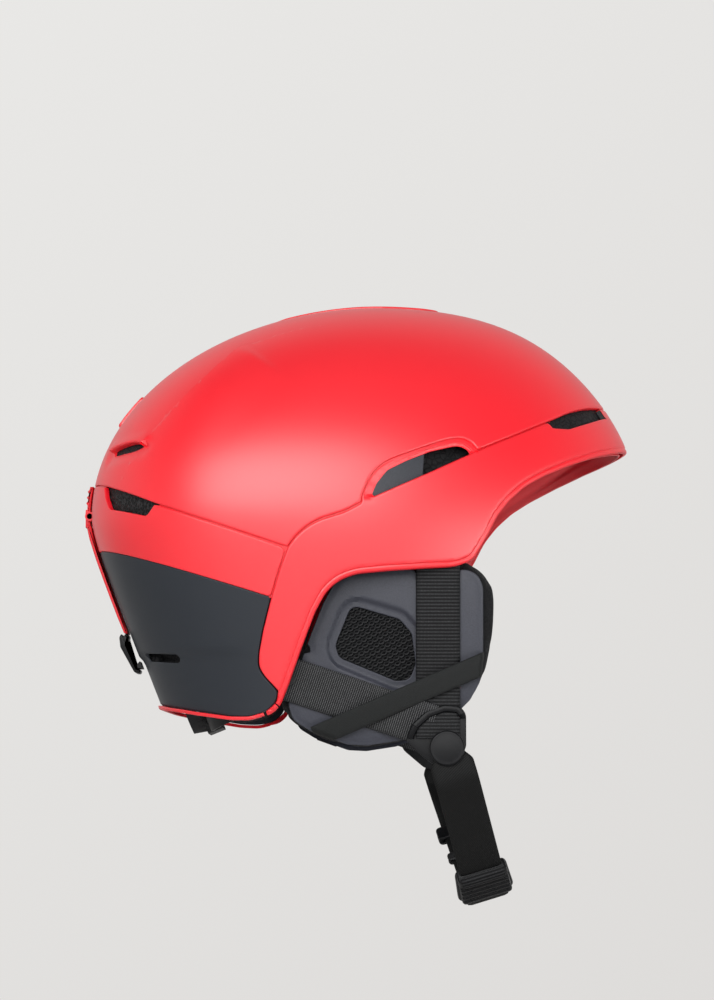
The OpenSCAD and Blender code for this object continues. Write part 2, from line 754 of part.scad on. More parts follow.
strap_z0 = divider_t + webbing_t + 2 * layer_gap;   // chin strap's height over the divider plate
module divider_button(s) {
    top = strap_z0 + webbing_t + layer_gap;
    color(black) at_divider(s) {
        translate([0, 0, -1.2]) cylinder(r = rivet_r, h = top + 1.4);
        translate([0, 0, -2.2]) cylinder(r = rivet_r + 2, h = 2);
        intersection() {
            translate([0, 0, top]) cylinder(d = button_d, h = 2.6);
            translate([0, 0, top + 2.6 - 40]) sphere(r = 40);
        }
    }
}
module left_divider_button() { divider_button(1); }
module right_divider_button() { divider_button(-1); }

module strap_rivets() {
    color("dimgray") for (s = [-1, 1]) {
        translate(on_ear(front_strap_x, -13, 0, s)) rotate([-s * 90, 0, 0])
            translate([0, 0, layer_gap + webbing_t + 0.1]) cylinder(r = 4, h = 3.4);
        translate(on_ear(-17, rear_strap_z(-17), 0, s)) rotate([-s * 90, 0, 0])
            translate([0, 0, layer_gap + webbing_t + 0.5]) cylinder(r = 3, h = 1.6);
    }
}

// ---- chin loop ----------------------------------------------------------------------------
// the loop hangs in a plane through both rivets, leaning forwards; q is a place across and down
strap_y = divider_y + strap_z0 + webbing_t / 2;
function loop(q) = [button_at[0] + q[1] * sin(loop_lean), q[0], button_at[1] - q[1] * cos(loop_lean)];
lean_dir = [cos(loop_lean), 0, sin(loop_lean)];
buckle_end = [-9, loop_drop];
buckle_tilt = 28;
buckle_dir = [cos(buckle_tilt), sin(buckle_tilt)];
buckle_top = buckle_end - buckle_l * buckle_dir;

// round strap end under the button, with shoulders out to the full width
tab_l = 12.6;                      // length of the flat end below the rivet
module strap_end(s) {
    half = webbing_w / 2;
    at_divider(s) rotate([0, 0, -s * loop_lean]) to_side(s)
        translate([0, 0, strap_z0]) difference() {
            linear_extrude(height = webbing_t) {
                circle(d = button_d - 1.5);
                polygon([[-7.6, 2], [7.6, 2], [half, 9], [half, tab_l], [-half, tab_l], [-half, 9]]);
            }
            translate([0, 0, -1]) cylinder(r = rivet_r + running_gap, h = 20);
        }
}
module chin_strap(points) {
    path = [for (q = points) loop(q)];
    webbing(path, [for (p = path) lean_dir], webbing_w, webbing_t);
}
module chin_strap_right() {
    color(black) {
        strap_end(-1);
        chin_strap([[-strap_y, tab_l - 0.4], [-strap_y + 0.8, 16], [-strap_y + 3.4, 20],
            [-strap_y + 9, 25], (buckle_top + [-strap_y + 9, 25]) / 2, buckle_top + [-0.2, -0.1]]);
    }
}
module chin_tab_left() {
    color(black) strap_end(1);
}
head_l = 8;                        // the receiver's bar that holds the webbing
plate_t = 3;                       // the receiver's plate, behind the tongue
plate_lip = 3.2;                   // how far the plate stands out past the tongue
tongue_l = buckle_l - head_l - layer_gap + 1.6;
tongue_low = plate_t - buckle_t / 2 + layer_gap;       // the tongue's inner face
tongue_t = buckle_t / 2 - tongue_low;
tongue_end = buckle_top + (head_l + layer_gap + tongue_l + 0.2) * buckle_dir
    + (tongue_low + tongue_t / 2) * [-buckle_dir[1], buckle_dir[0]];
arm_start = [strap_y - 9, 25];
arm_end = tongue_end + [20, -4.5];
module chin_strap_left() {
    color(black) chin_strap([[strap_y, tab_l + 0.6], [strap_y - 0.8, 16], [strap_y - 3.4, 20],
        arm_start, arm_end, tongue_end + [12, -0.4], tongue_end + [5, 1.2], tongue_end + [0.3, 0.2]]);
}

// frame of the buckle: X across the webbing, Y along it towards the middle, Z outwards and down
module at_buckle() {
    multmatrix([
        [lean_dir[0], buckle_dir[1] * sin(loop_lean), buckle_dir[0] * sin(loop_lean), loop(buckle_top)[0]],
        [0, buckle_dir[0], -buckle_dir[1], loop(buckle_top)[1]],
        [lean_dir[2], -buckle_dir[1] * cos(loop_lean), -buckle_dir[0] * cos(loop_lean), loop(buckle_top)[2]],
        [0, 0, 0, 1]]) children();
}
// rounded plate outline that starts at the webbing and narrows a little towards it
module buckle_plan(w, l, r) {
    offset(r = r, $fn = 24) offset(delta = -r)
        polygon([[-w / 2 + 1.5, 0], [w / 2 - 1.5, 0], [w / 2, l], [-w / 2, l]]);
}
module buckle_receiver() {
    color(black) at_buckle() {
        translate([0, 0, -buckle_t / 2]) linear_extrude(height = plate_t)
            buckle_plan(buckle_w + 3, head_l + tongue_l + plate_lip, 5);
        difference() {
            translate([0, head_l / 2, 0]) linear_extrude(height = buckle_t, center = true)
                offset(r = 2, $fn = 24) square([buckle_w - 4, head_l - 4], center = true);
            // window in the bar, where the webbing's fold shows
            translate([-webbing_w / 2, 2.6, 0.8]) cube([webbing_w, 2.6, buckle_t]);
        }
    }
}
// ribbed grip that the left strap hangs on
module buckle_tongue() {
    color(black) at_buckle() difference() {
        translate([0, head_l + layer_gap, tongue_low]) linear_extrude(height = tongue_t)
            buckle_plan(buckle_w, tongue_l, 4);
        for (i = [0:2])
            translate([-buckle_w, head_l + 4 + 4.6 * i, buckle_t / 2 - 1]) cube([2 * buckle_w, 1.8, 2]);
    }
}

module strap_adjuster() {
    color(black) translate(loop(along_arm(0.36))) multmatrix(left_frame()) difference() {
        linear_extrude(height = 5.2, center = true)
            offset(r = 3, $fn = 24) square([webbing_w + 1, 4], center = true);
        cube([webbing_w + 1, 12, webbing_t + 0.6], center = true);
    }
}
// webbing frame of the left arm: X across, Y along the arm
function along_arm(share) = arm_start + share * (arm_end - arm_start);
function left_dir() = unit(arm_end - arm_start);
function left_frame() = let (u = left_dir())
    [[lean_dir[0], u[1] * sin(loop_lean), u[0] * sin(loop_lean), 0],
     [0, u[0], -u[1], 0],
     [lean_dir[2], -u[1] * cos(loop_lean), -u[0] * cos(loop_lean), 0],
     [0, 0, 0, 1]];
module strap_keeper() {
    color(black) translate(loop(along_arm(0.62))) multmatrix(left_frame()) difference() {
        linear_extrude(height = 4.4, center = true)
            offset(r = 1.5, $fn = 24) square([webbing_w + 1, 3], center = true);
        cube([webbing_w + 1, 8, webbing_t + 0.6], center = true);
    }
}

// ---- goggle retainer ----------------------------------------------------------------------
function back_x(z) = rear_x(z > ring_z ? asin((z - ring_z) / crown_h) : 0, max(0, ring_z - z), 0);
goggle_pin_at = [back_x(ring_z) - 0.8, ring_z];
knuckle_r = goggle_pin_r + 0.9;
knuckle_w = goggle_w - 8;
anchor_z = 24;                     // height of the anchor's peg

module at_goggle_pin(w) {
    translate([goggle_pin_at[0], 0, goggle_pin_at[1]]) rotate([90, 0, 0])
        translate([0, 0, -w / 2]) children();
}
// peg hole and the pocket that the knuckle turns in
module goggle_fixings() {
    translate([back_x(anchor_z) - 4, 0, anchor_z]) rotate([0, 90, 0]) cylinder(r = 2.1, h = 12);
    at_goggle_pin(goggle_w + 1) cylinder(r = knuckle_r + 0.7, h = goggle_w + 1);
}
module goggle_anchor() {
    color(red) difference() {
        union() {
            difference() {
                intersection() {
                    translate([back_x(anchor_z) - 12, -goggle_w / 2, ring_z]) cube([20, goggle_w, 15.5]);
                    dome(-goggle_t);
                }
                dome(-layer_gap);
            }
            translate([back_x(anchor_z) - 2, 0, anchor_z]) rotate([0, 90, 0]) cylinder(r = 2, h = 4.4);
            at_goggle_pin(goggle_w) cylinder(r = knuckle_r, h = goggle_w);
        }
        // room for the strap's knuckle and its swing, the pin's bore and three grip ribs
        at_goggle_pin(knuckle_w + 0.4) cylinder(r = knuckle_r + 0.8, h = knuckle_w + 0.4);
        at_goggle_pin(goggle_w + 2) cylinder(r = goggle_pin_r + 0.01, h = goggle_w + 2);
        translate([goggle_pin_at[0] - 12, -goggle_w, ring_z - 12]) cube([12 - knuckle_r, 2 * goggle_w, 12]);
        for (i = [0:2])
            translate([back_x(anchor_z) - goggle_t - 0.6, -goggle_w, 20.5 + 3 * i]) rotate([0, 20, 0])
                cube([1.2, 2 * goggle_w, 1.4]);
    }
}
module goggle_pin() {
    color("silver") at_goggle_pin(goggle_w) cylinder(r = goggle_pin_r, h = goggle_w);
}

strap_zs = [9.4, 2, -8, -18, -28, -38, -47];
module goggle_strap() {
    color(red) difference() {
        union() {
            webbing([for (z = strap_zs) [back_x(z) - goggle_t / 2 - layer_gap, 0, z]],
                [for (z = strap_zs) [0, 1, 0]], goggle_w, goggle_t);
            at_goggle_pin(knuckle_w) cylinder(r = knuckle_r, h = knuckle_w);
            translate([goggle_pin_at[0] - knuckle_r, -knuckle_w / 2, 8.6])
                cube([goggle_t, knuckle_w, ring_z - 9.2]);
        }
        at_goggle_pin(knuckle_w + 2) cylinder(r = goggle_pin_r + running_gap, h = knuckle_w + 2);
    }
}

// hook on the strap's end, drawn from the side and grabbing the catch from below
hook_w = goggle_w - 4;
catch_z = -64;
module goggle_hook() {
    top = back_x(-48) - layer_gap - 0.05;
    low = back_x(catch_z);
    color(black) rotate([90, 0, 0]) linear_extrude(height = hook_w, center = true)
        polygon([[top - goggle_t, -48.4], [top - goggle_t - 2.2, -47.2], [top - goggle_t - 2.4, -50],
            [low - 5.2, catch_z - 0.5], [low - 3.6, catch_z - 3.2], [low - 1.2, catch_z - 3.4],
            [low - 0.9, catch_z - 1.6], [low - 2.8, catch_z - 1.5], [low - 3.2, catch_z + 0.5],
            [top - 0.8, -49.8], [top - 0.3, -47.4], [top - goggle_t + 0.1, -47.4]]);
}
module goggle_catch() {
    low = back_x(catch_z);
    color(black) rotate([90, 0, 0]) linear_extrude(height = hook_w, center = true)
        polygon([[low - 2.4, catch_z - 1], [low - 2.4, catch_z + 1.2], [low - 1, catch_z + 2.6],
            [low + 0.25, catch_z - 0.9]]);
}

crown_shell();
brow_side_shell();
rear_shell_band();
rear_lower_panel();
rim_bead();
crown_strip();
temple_inserts();
exhaust_filters();
vent_knob();
vent_shutter();
impact_liner();
brow_pad();
crown_pad();
left_side_pad();
right_side_pad();
nape_pad();
dial_housing();
fit_dial();
dial_screws();
left_rack_arm();
right_rack_arm();
left_ear_cushion();
right_ear_cushion();
left_ear_frame();
right_ear_frame();
left_ear_mesh();
right_ear_mesh();
left_front_strap();
right_front_strap();
left_rear_strap();
right_rear_strap();
left_elastic_band();
right_elastic_band();
left_divider();
right_divider();
left_divider_button();
right_divider_button();
strap_rivets();
chin_strap_right();
buckle_receiver();
chin_tab_left();
chin_strap_left();
buckle_tongue();
strap_adjuster();
strap_keeper();
goggle_anchor();
goggle_pin();
goggle_strap();
goggle_hook();
goggle_catch();
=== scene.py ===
import math

import bmesh
import bpy
import numpy as np
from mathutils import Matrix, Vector


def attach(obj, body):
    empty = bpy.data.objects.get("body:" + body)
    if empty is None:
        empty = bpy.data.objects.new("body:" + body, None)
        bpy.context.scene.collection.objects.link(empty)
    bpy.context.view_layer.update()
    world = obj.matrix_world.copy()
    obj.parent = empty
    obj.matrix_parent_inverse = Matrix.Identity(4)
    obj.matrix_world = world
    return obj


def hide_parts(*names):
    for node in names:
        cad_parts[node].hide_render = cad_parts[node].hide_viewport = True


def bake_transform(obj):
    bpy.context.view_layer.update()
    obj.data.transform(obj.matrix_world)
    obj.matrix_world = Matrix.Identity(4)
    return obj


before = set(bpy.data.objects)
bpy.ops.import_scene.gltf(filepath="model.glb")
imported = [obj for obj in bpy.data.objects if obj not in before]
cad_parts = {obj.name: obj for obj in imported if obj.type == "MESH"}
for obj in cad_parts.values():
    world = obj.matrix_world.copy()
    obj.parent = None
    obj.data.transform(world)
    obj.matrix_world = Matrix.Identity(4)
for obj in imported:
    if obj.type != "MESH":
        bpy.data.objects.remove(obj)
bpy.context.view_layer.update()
mm = 0.001
fullTurn = 2 * math.pi

# The shells share one skin. A place on it is (up, turn): mm along the surface above the widest
# ring, or below it where negative, and the angle from the front towards the wearer's right.
skin = dict(ringZ=14.0, midX=33.0, rearReach=154.8, frontReach=132.2, halfWidth=110.0,
            crownHeight=110.0, browFullness=21.0, noseIn=33.0, crownArc=172.8, wall=2.4)
sides = {"right": -1, "left": 1}


def tuck(drop, radius):
    return np.hypot(drop, radius) - radius


def skinPoint(place, inset=0.0, pull=0.0):
    up, turn = place[:, 0], place[:, 1]
    rise = np.clip(up, 0, skin["crownArc"]) / skin["crownHeight"]
    drop = np.clip(-up, 0, None)
    level = np.cos(rise)
    front = (skin["midX"] - 0.15 * tuck(drop, 40)
             + (skin["frontReach"] + skin["browFullness"] * np.sin(rise) ** 6 - inset - pull) * level)
    rear = skin["midX"] - (skin["rearReach"] - inset) * level + 0.4 * tuck(drop, 12)
    half = (skin["halfWidth"] - inset) * level - 0.26 * tuck(drop, 25)
    across, along = np.sin(turn), np.cos(turn)
    return np.stack([(front + rear) / 2 + (front - rear) / 2 * along - skin["noseIn"] * level * across ** 2,
                     -half * across,
                     skin["ringZ"] + (skin["crownHeight"] - inset) * np.sin(rise) - drop], axis=1)


def skinNormal(place, inset=0.0, pull=0.0):
    place = np.stack([np.minimum(place[:, 0], skin["crownArc"] - 0.4), place[:, 1]], axis=1)
    stepUp, stepTurn = np.array([0.05, 0]), np.array([0, 0.0005])
    along = skinPoint(place + stepUp, inset, pull) - skinPoint(place - stepUp, inset, pull)
    across = skinPoint(place + stepTurn, inset, pull) - skinPoint(place - stepTurn, inset, pull)
    normal = np.cross(along, across)
    return normal / np.linalg.norm(normal, axis=1, keepdims=True)


def upAt(z):
    # distance up the surface at a height
    rise = math.asin(min(0.999, max(0.0, z - skin["ringZ"]) / skin["crownHeight"]))
    return rise * skin["crownHeight"] if z > skin["ringZ"] else z - skin["ringZ"]


def skinAt(x, z, side=-1):
    # the place whose side view is (x, z), found by halving the turn
    up = upAt(z)
    low, high = 0.0, math.pi
    for _ in range(40):
        mid = (low + high) / 2
        if skinPoint(np.array([[up, mid]]))[0, 0] > x:
            low = mid
        else:
            high = mid
    return np.array([up, mid if side < 0 else fullTurn - mid])


def rounded(points, radius=30.0, sharp=(), sharpRadius=1.2, steps=5, closed=True):
    # a corner becomes an arc over at most half of each side
    out = []
    for i, point in enumerate(points):
        if not closed and i in (0, len(points) - 1):
            out.append(np.array(point, float))
            continue
        p = np.array(point, float)
        toLast, toNext = np.array(points[i - 1]) - p, np.array(points[(i + 1) % len(points)]) - p
        lastLength, nextLength = np.linalg.norm(toLast), np.linalg.norm(toNext)
        angle = math.acos(np.clip(toLast @ toNext / (lastLength * nextLength), -1, 1))
        isSharp = any(abs(point[0] - x) + abs(point[1] - y) < 0.8 for x, y in sharp)
        reach = (sharpRadius if isSharp else radius) * math.tan((math.pi - angle) / 2)
        reach = min(reach, 0.48 * lastLength, 0.48 * nextLength)
        start, end = p + toLast / lastLength * reach, p + toNext / nextLength * reach
        for k in range(steps + 1):
            t = k / steps
            out.append((1 - t) ** 2 * start + 2 * t * (1 - t) * p + t * t * end)
    return np.array(out)


def outlineDistance(outline, flat):
    # signed distance to a closed outline, positive inside, and the direction away from it
    a, b = outline, np.roll(outline, -1, axis=0)
    run = b - a
    length = np.maximum((run ** 2).sum(axis=1), 1e-12)
    distance, away = np.empty(len(flat)), np.empty((len(flat), 2))
    for start in range(0, len(flat), 6000):
        p = flat[start:start + 6000, None, :]
        t = np.clip(((p - a) * run).sum(axis=2) / length, 0, 1)
        gap = p - (a + t[..., None] * run)
        squared = (gap ** 2).sum(axis=2)
        nearest = squared.argmin(axis=1)
        rows = np.arange(len(nearest))
        far = np.sqrt(squared[rows, nearest])
        crossing = (a[:, 1] > p[..., 1]) != (b[:, 1] > p[..., 1])
        slope = run[:, 0] / np.where(run[:, 1] == 0, 1e-12, run[:, 1])
        inside = (crossing & (p[..., 0] < slope * (p[..., 1] - a[:, 1]) + a[:, 0])).sum(axis=1) % 2 == 1
        distance[start:start + 6000] = np.where(inside, far, -far)
        away[start:start + 6000] = gap[rows, nearest] / np.maximum(far, 1e-9)[:, None]
    return distance, away


def sideView(outline, axes=(0, 2), inset=0.0, pull=0.0):
    # distance along the skin inside an outline drawn from the side, or on other axes
    def field(place):
        position, normal = skinPoint(place, inset, pull), skinNormal(place, inset, pull)
        distance, away = outlineDistance(outline, position[:, list(axes)])
        slant = (away * normal[:, list(axes)]).sum(axis=1)
        return distance / np.sqrt(np.maximum(1 - slant ** 2, 0.03))
    return field


def pathGap(p, path, radius=0.0):
    path = np.array(path, float)
    radii = np.broadcast_to(np.array(radius, float), len(path))
    best = np.full(len(p), 1e9)
    for a, b, ra, rb in zip(path[:-1], path[1:], radii[:-1], radii[1:]):
        t = np.clip((p - a) @ (b - a) / ((b - a) @ (b - a)), 0, 1)
        gap = np.linalg.norm(p - a - t[:, None] * (b - a), axis=1)
        best = np.minimum(best, gap - (ra + t * (rb - ra)))
    return best


def awayFrom(path, radius, inset=0.0, pull=0.0):
    # distance outside a round slot along a path of 3-D points
    return lambda place: pathGap(skinPoint(place, inset, pull), path, radius)


def both(*fields):
    return lambda place: np.minimum.reduce([f(place) for f in fields])


def wider(field, by):
    return lambda place: field(place) + by


def outside(field):
    return lambda place: -field(place)


def smoothStep(low, high, value):
    t = np.clip((value - low) / (high - low), 0, 1)
    return t * t * (3 - 2 * t)


def splitAlong(places, faces, value, level, field):
    # splits the triangles that the line value == level runs through
    side = np.where(np.abs(value - level) < 0.02, 0, np.sign(value - level)).astype(int)
    starts, ends = faces, np.roll(faces, -1, axis=1)
    crossed = side[starts] * side[ends] < 0
    if not crossed.any():
        return places, faces, value
    count = len(places)

    def keyOf(a, b):
        return np.minimum(a, b).astype(np.int64) * count + np.maximum(a, b)

    keys = np.unique(keyOf(starts[crossed], ends[crossed]))
    a, b = keys // count, keys % count
    t = (level - value[a]) / (value[b] - value[a])
    for _ in range(3):
        there = field(places[a] + t[:, None] * (places[b] - places[a]))
        before = (there - level) * (value[a] - level) > 0
        t0, v0 = np.where(before, t, 0), np.where(before, there, value[a])
        t1, v1 = np.where(before, 1, t), np.where(before, value[b], there)
        flat = np.abs(v1 - v0) < 1e-9
        t = np.clip(t0 + (level - v0) / np.where(flat, 1, v1 - v0) * (t1 - t0), 0.001, 0.999)
    places = np.concatenate([places, places[a] + t[:, None] * (places[b] - places[a])])
    value = np.concatenate([value, np.full(len(keys), float(level))])
    done, kept = [], np.ones(len(faces), bool)
    for k in range(3):
        p, q, r = faces[:, k], faces[:, (k + 1) % 3], faces[:, (k + 2) % 3]
        alone = kept & (side[p] * side[q] < 0) & (side[p] * side[r] < 0)
        throughCorner = kept & (side[p] == 0) & (side[q] * side[r] < 0)
        for mask, two in ((alone, True), (throughCorner, False)):
            if not mask.any():
                continue
            tip, left, right = p[mask], q[mask], r[mask]
            if two:
                m = count + np.searchsorted(keys, keyOf(tip, left))
                n = count + np.searchsorted(keys, keyOf(tip, right))
                done += [np.stack([tip, m, n], 1), np.stack([m, left, right], 1), np.stack([m, right, n], 1)]
            else:
                m = count + np.searchsorted(keys, keyOf(left, right))
                done += [np.stack([tip, left, m], 1), np.stack([tip, m, right], 1)]
            kept &= ~mask
    return places, np.concatenate([faces[kept]] + done), value


def skinGrid(low, high, rowStep=2.4, columns=300, turns=(0.0, fullTurn)):
    rows = max(2, int((high - low) / rowStep))
    ups, angles = np.linspace(low, high, rows + 1), np.linspace(*turns, columns + 1)
    places = np.stack([np.repeat(ups, columns + 1), np.tile(angles, rows + 1)], axis=1)
    i, k = np.meshgrid(np.arange(rows), np.arange(columns), indexing="ij")
    a = (i * (columns + 1) + k).ravel()
    b, c, d = a + 1, a + columns + 2, a + columns + 1
    return places, np.concatenate([np.stack([a, c, b], 1), np.stack([a, d, c], 1)])


def weld(points, faces, extra):
    # joins points that lie on each other and drops the faces that close up
    _, first, where = np.unique(np.round(points / 2e-3).astype(np.int64), axis=0,
                                return_index=True, return_inverse=True)
    faces = where.reshape(-1)[faces]
    whole = (faces[:, 0] != faces[:, 1]) & (faces[:, 1] != faces[:, 2]) & (faces[:, 2] != faces[:, 0])
    return [e[first] for e in extra], faces[whole]


def boundaryEdges(faces):
    edges = np.concatenate([faces[:, [0, 1]], faces[:, [1, 2]], faces[:, [2, 0]]])
    keys = np.sort(edges, axis=1)
    _, where, counts = np.unique(keys, axis=0, return_inverse=True, return_counts=True)
    return edges[counts[where.reshape(-1)] == 1]


def cutOut(places, faces, field, fillet, last=1.5):
    # keeps the faces inside the field's zero line, with rows of points for the rounded edge
    value = field(places)
    for level in (0.0, 0.13 * fillet, 0.45 * fillet, fillet, last * fillet):
        places, faces, value = splitAlong(places, faces, value, level, field)
        if level == 0.0:
            faces = faces[value[faces].sum(axis=1) > 0]
    return places, faces, value


def onlyUsed(places, faces, value):
    used = np.unique(faces)
    renumber = np.zeros(len(places), int)
    renumber[used] = np.arange(len(used))
    return places[used], renumber[faces], np.maximum(value[used], 0)


def roundedBy(value, radius):
    # how far an edge's surface has dropped, at this distance from the edge
    return radius * (1 - np.sqrt(1 - np.clip(1 - value / radius, 0, 1) ** 2))


def walled(outer, inner, faces):
    # both faces of a wall, stitched along its open edges
    edges = boundaryEdges(faces)
    a, b, n = edges[:, 0], edges[:, 1], len(outer)
    walls = np.concatenate([np.stack([a, a + n, b + n], 1), np.stack([a, b + n, b], 1)])
    return np.concatenate([outer, inner]), np.concatenate([faces, faces[:, ::-1] + n, walls])


def skinShell(field, low, high, outer=0.0, wall=None, fillet=0.9, relief=None, creases=(),
              pull=0.0, rowStep=2.4, columns=300, turns=(0.0, fullTurn), innerPull=None, under=None):
    # a wall of the skin inside a field's zero line, with its outer edges rounded over
    wall = skin["wall"] if wall is None else wall
    places, faces = skinGrid(low, high, rowStep, columns, turns)
    faces = faces[(field(places)[faces] > -8).any(axis=1)]
    places, faces, value = cutOut(places, faces, field, fillet)
    for crease, levels in creases:
        bend = crease(places)
        for level in levels:
            places, faces, bend = splitAlong(places, faces, bend, level, crease)
    value = field(places)
    (places, value), faces = weld(skinPoint(places, outer, pull), faces, [places, value])
    places, faces, value = onlyUsed(places, faces, value)
    top, normal = skinPoint(places, outer, pull), skinNormal(places, outer, pull)
    out = -roundedBy(value, fillet)
    if relief:
        out = out + relief(places, top, value)
    inner = skinPoint(places, outer + wall, pull if innerPull is None else innerPull)
    if under:
        inner = inner + skinNormal(places, outer + wall, pull) * under(places, inner, value)[:, None]
    return walled(top + normal * out[:, None], inner, faces)


def makePiece(name, points, faces, material, body, slot, nodes=(), smooth=32, uv=None):
    # uv gives each point its place on the webbing's own map, in metres
    mesh = bpy.data.meshes.new(name)
    mesh.from_pydata((np.asarray(points, float) * mm).tolist(), [], [list(map(int, f)) for f in faces])
    mesh.update()
    shade(mesh, smooth)
    if uv is not None:
        layer = mesh.uv_layers.new(name="webbingMap")
        corners = np.empty(len(mesh.loops), int)
        mesh.loops.foreach_get("vertex_index", corners)
        layer.data.foreach_set("uv", np.asarray(uv, float)[corners].ravel())
    piece = bpy.data.objects.new(name, mesh)
    bpy.context.scene.collection.objects.link(piece)
    mesh.materials.append(material)
    settle(piece, body, slot, nodes)
    return piece


def shade(mesh, smooth):
    mesh.shade_smooth()
    if smooth:
        mesh.set_sharp_from_angle(angle=math.radians(smooth))


def settle(piece, body, slot, nodes=()):
    if body:
        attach(piece, body)
    if nodes:
        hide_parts(*nodes)


def joined(*shapes):
    points, faces, count = [], [], 0
    for p, f in shapes:
        points.append(np.asarray(p, float))
        faces += [tuple(int(i) + count for i in face) for face in f]
        count += len(p)
    return np.concatenate(points), faces


def mirrored(shape):
    points, faces = shape
    return np.asarray(points) * [1, -1, 1], [tuple(reversed(tuple(f))) for f in faces]


def mathsOf(operation, swapped=False):
    def method(self, other=None):
        return self.maths(operation, other, self) if swapped else self.maths(operation, self, other)
    return method


class Wire:
    # a socket that shader maths is written with
    def __init__(self, builder, socket):
        self.builder, self.socket = builder, socket

    def maths(self, operation, a, b=None, clamp=False):
        values = {i: value for i, value in enumerate((a, b)) if value is not None}
        return self.builder.add("ShaderNodeMath", {"operation": operation, "use_clamp": clamp}, values)

    def clamped(self):
        return self.maths("ADD", self, 0.0, clamp=True)

    __add__, __radd__ = mathsOf("ADD"), mathsOf("ADD", True)
    __sub__, __rsub__ = mathsOf("SUBTRACT"), mathsOf("SUBTRACT", True)
    __mul__, __rmul__ = mathsOf("MULTIPLY"), mathsOf("MULTIPLY", True)
    __pow__ = mathsOf("POWER")
    sine = mathsOf("SINE")


class Builder:
    # makes every node: settings first, then the values or links of its sockets
    def __init__(self, tree):
        self.tree = tree

    def add(self, kind, settings=None, sockets=None, out=0):
        node = self.tree.nodes.new(kind)
        for key, value in (settings or {}).items():
            if key == "stops":
                for element, (at, tone) in zip(node.color_ramp.elements, value):
                    element.position, element.color = at, (*tone, 1)
            else:
                setattr(node, key, value)
        for key, value in (sockets or {}).items():
            self.give(node.inputs[key], value)
        return Wire(self, node.outputs[out] if node.outputs else None)

    def give(self, socket, value):
        if isinstance(value, Wire):
            self.tree.links.new(value.socket, socket)
        elif isinstance(value, tuple) and socket.type == "RGBA":
            socket.default_value = (*value, 1)
        else:
            socket.default_value = value

    def blend(self, factor, a, b):
        # colours that change over the surface
        return self.add("ShaderNodeMix", {"data_type": "RGBA"}, {0: factor, 6: a, 7: b}, out=2)


class Finish(Builder):
    # one procedural material
    def __init__(self, name, color, roughness, specular=0.5, sheen=0.0, sheenRoughness=0.4, metallic=0.0):
        self.material = bpy.data.materials.new(name)
        self.material.use_nodes = True
        super().__init__(self.material.node_tree)
        self.shader = self.tree.nodes["Principled BSDF"]
        for socket, value in (("Base Color", color), ("Roughness", roughness), ("Metallic", metallic),
                              ("Specular IOR Level", specular), ("Sheen Weight", sheen),
                              ("Sheen Roughness", sheenRoughness)):
            self.give(self.shader.inputs[socket], value)

    def place(self):
        return self.add("ShaderNodeTexCoord", out=3)

    def ownMap(self):
        return self.add("ShaderNodeUVMap", {"uv_map": "webbingMap"})

    def axes(self, vector):
        split = self.add("ShaderNodeSeparateXYZ", {}, {0: vector})
        return [Wire(self, output) for output in split.socket.node.outputs]

    def noise(self, scale, detail=2.0, roughness=0.5):
        return self.add("ShaderNodeTexNoise", {}, {"Vector": self.place(), "Scale": scale, "Detail": detail,
                                                   "Roughness": roughness})

    def feed(self, **sockets):
        names = {"color": "Base Color", "roughness": "Roughness"}
        for key, wire in sockets.items():
            self.give(self.shader.inputs[names[key]], wire)

    def bump(self, height, distance, strength=1.0):
        normal = self.add("ShaderNodeBump", {},
                          {"Strength": strength, "Distance": distance, "Height": height})
        self.give(self.shader.inputs["Normal"], normal)
        return self.material


def shadeOf(color, by):
    return tuple(c * by for c in color)


def redShell():
    f = Finish("redShell", (0.70, 0.005, 0.014), 0.4, specular=0.88)
    grain = f.noise(1500, 2)
    cloud = f.noise(9, 2)
    f.feed(roughness=(cloud - 0.5) * 0.05 + (grain - 0.5) * 0.06 + 0.4,
           color=f.blend(cloud, (0.68, 0.0046, 0.013), (0.72, 0.0052, 0.015)))
    return f.bump(grain, 0.00002, 0.25)


def redRubber():
    f = Finish("redRubber", (0.62, 0.008, 0.016), 0.52, specular=0.4)
    grain = f.noise(900, 3)
    f.feed(color=f.blend(grain, (0.56, 0.007, 0.014), (0.68, 0.009, 0.018)))
    return f.bump(grain, 0.00004, 0.5)


def slateShell():
    f = Finish("slateShell", (0.022, 0.026, 0.032), 0.5, specular=0.25)
    grain = f.noise(1700, 2)
    cloud = f.noise(11, 2)
    f.feed(color=f.blend(cloud, (0.0165, 0.0195, 0.0245), (0.020, 0.0235, 0.0295)),
           roughness=0.47 + (grain - 0.5) * 0.1)
    return f.bump(grain, 0.000025, 0.5)


def slatePlastic(name="slatePlastic", color=(0.034, 0.036, 0.047), roughness=0.5, depth=0.00007,
                 specular=0.3):
    # moulded with a spark-eroded grain
    f = Finish(name, color, roughness, specular)
    grain = f.noise(1350, 3, roughness=0.6)
    speck = f.noise(2600, 1)
    f.feed(color=f.blend((grain - 0.3) * 2.2, shadeOf(color, 0.82), shadeOf(color, 1.16)),
           roughness=(roughness - 0.07) + speck * 0.14)
    return f.bump(grain + speck * 0.5, depth, 0.6)


def blackPlastic():
    return slatePlastic("blackPlastic", (0.0055, 0.0057, 0.0064), 0.46, 0.00004, 0.2)


def satinBlack():
    return slatePlastic("satinBlack", (0.0046, 0.0048, 0.0056), 0.36, 0.000015, 0.14)


def blackRubber():
    return slatePlastic("blackRubber", (0.0105, 0.0105, 0.0115), 0.62, 0.00005)


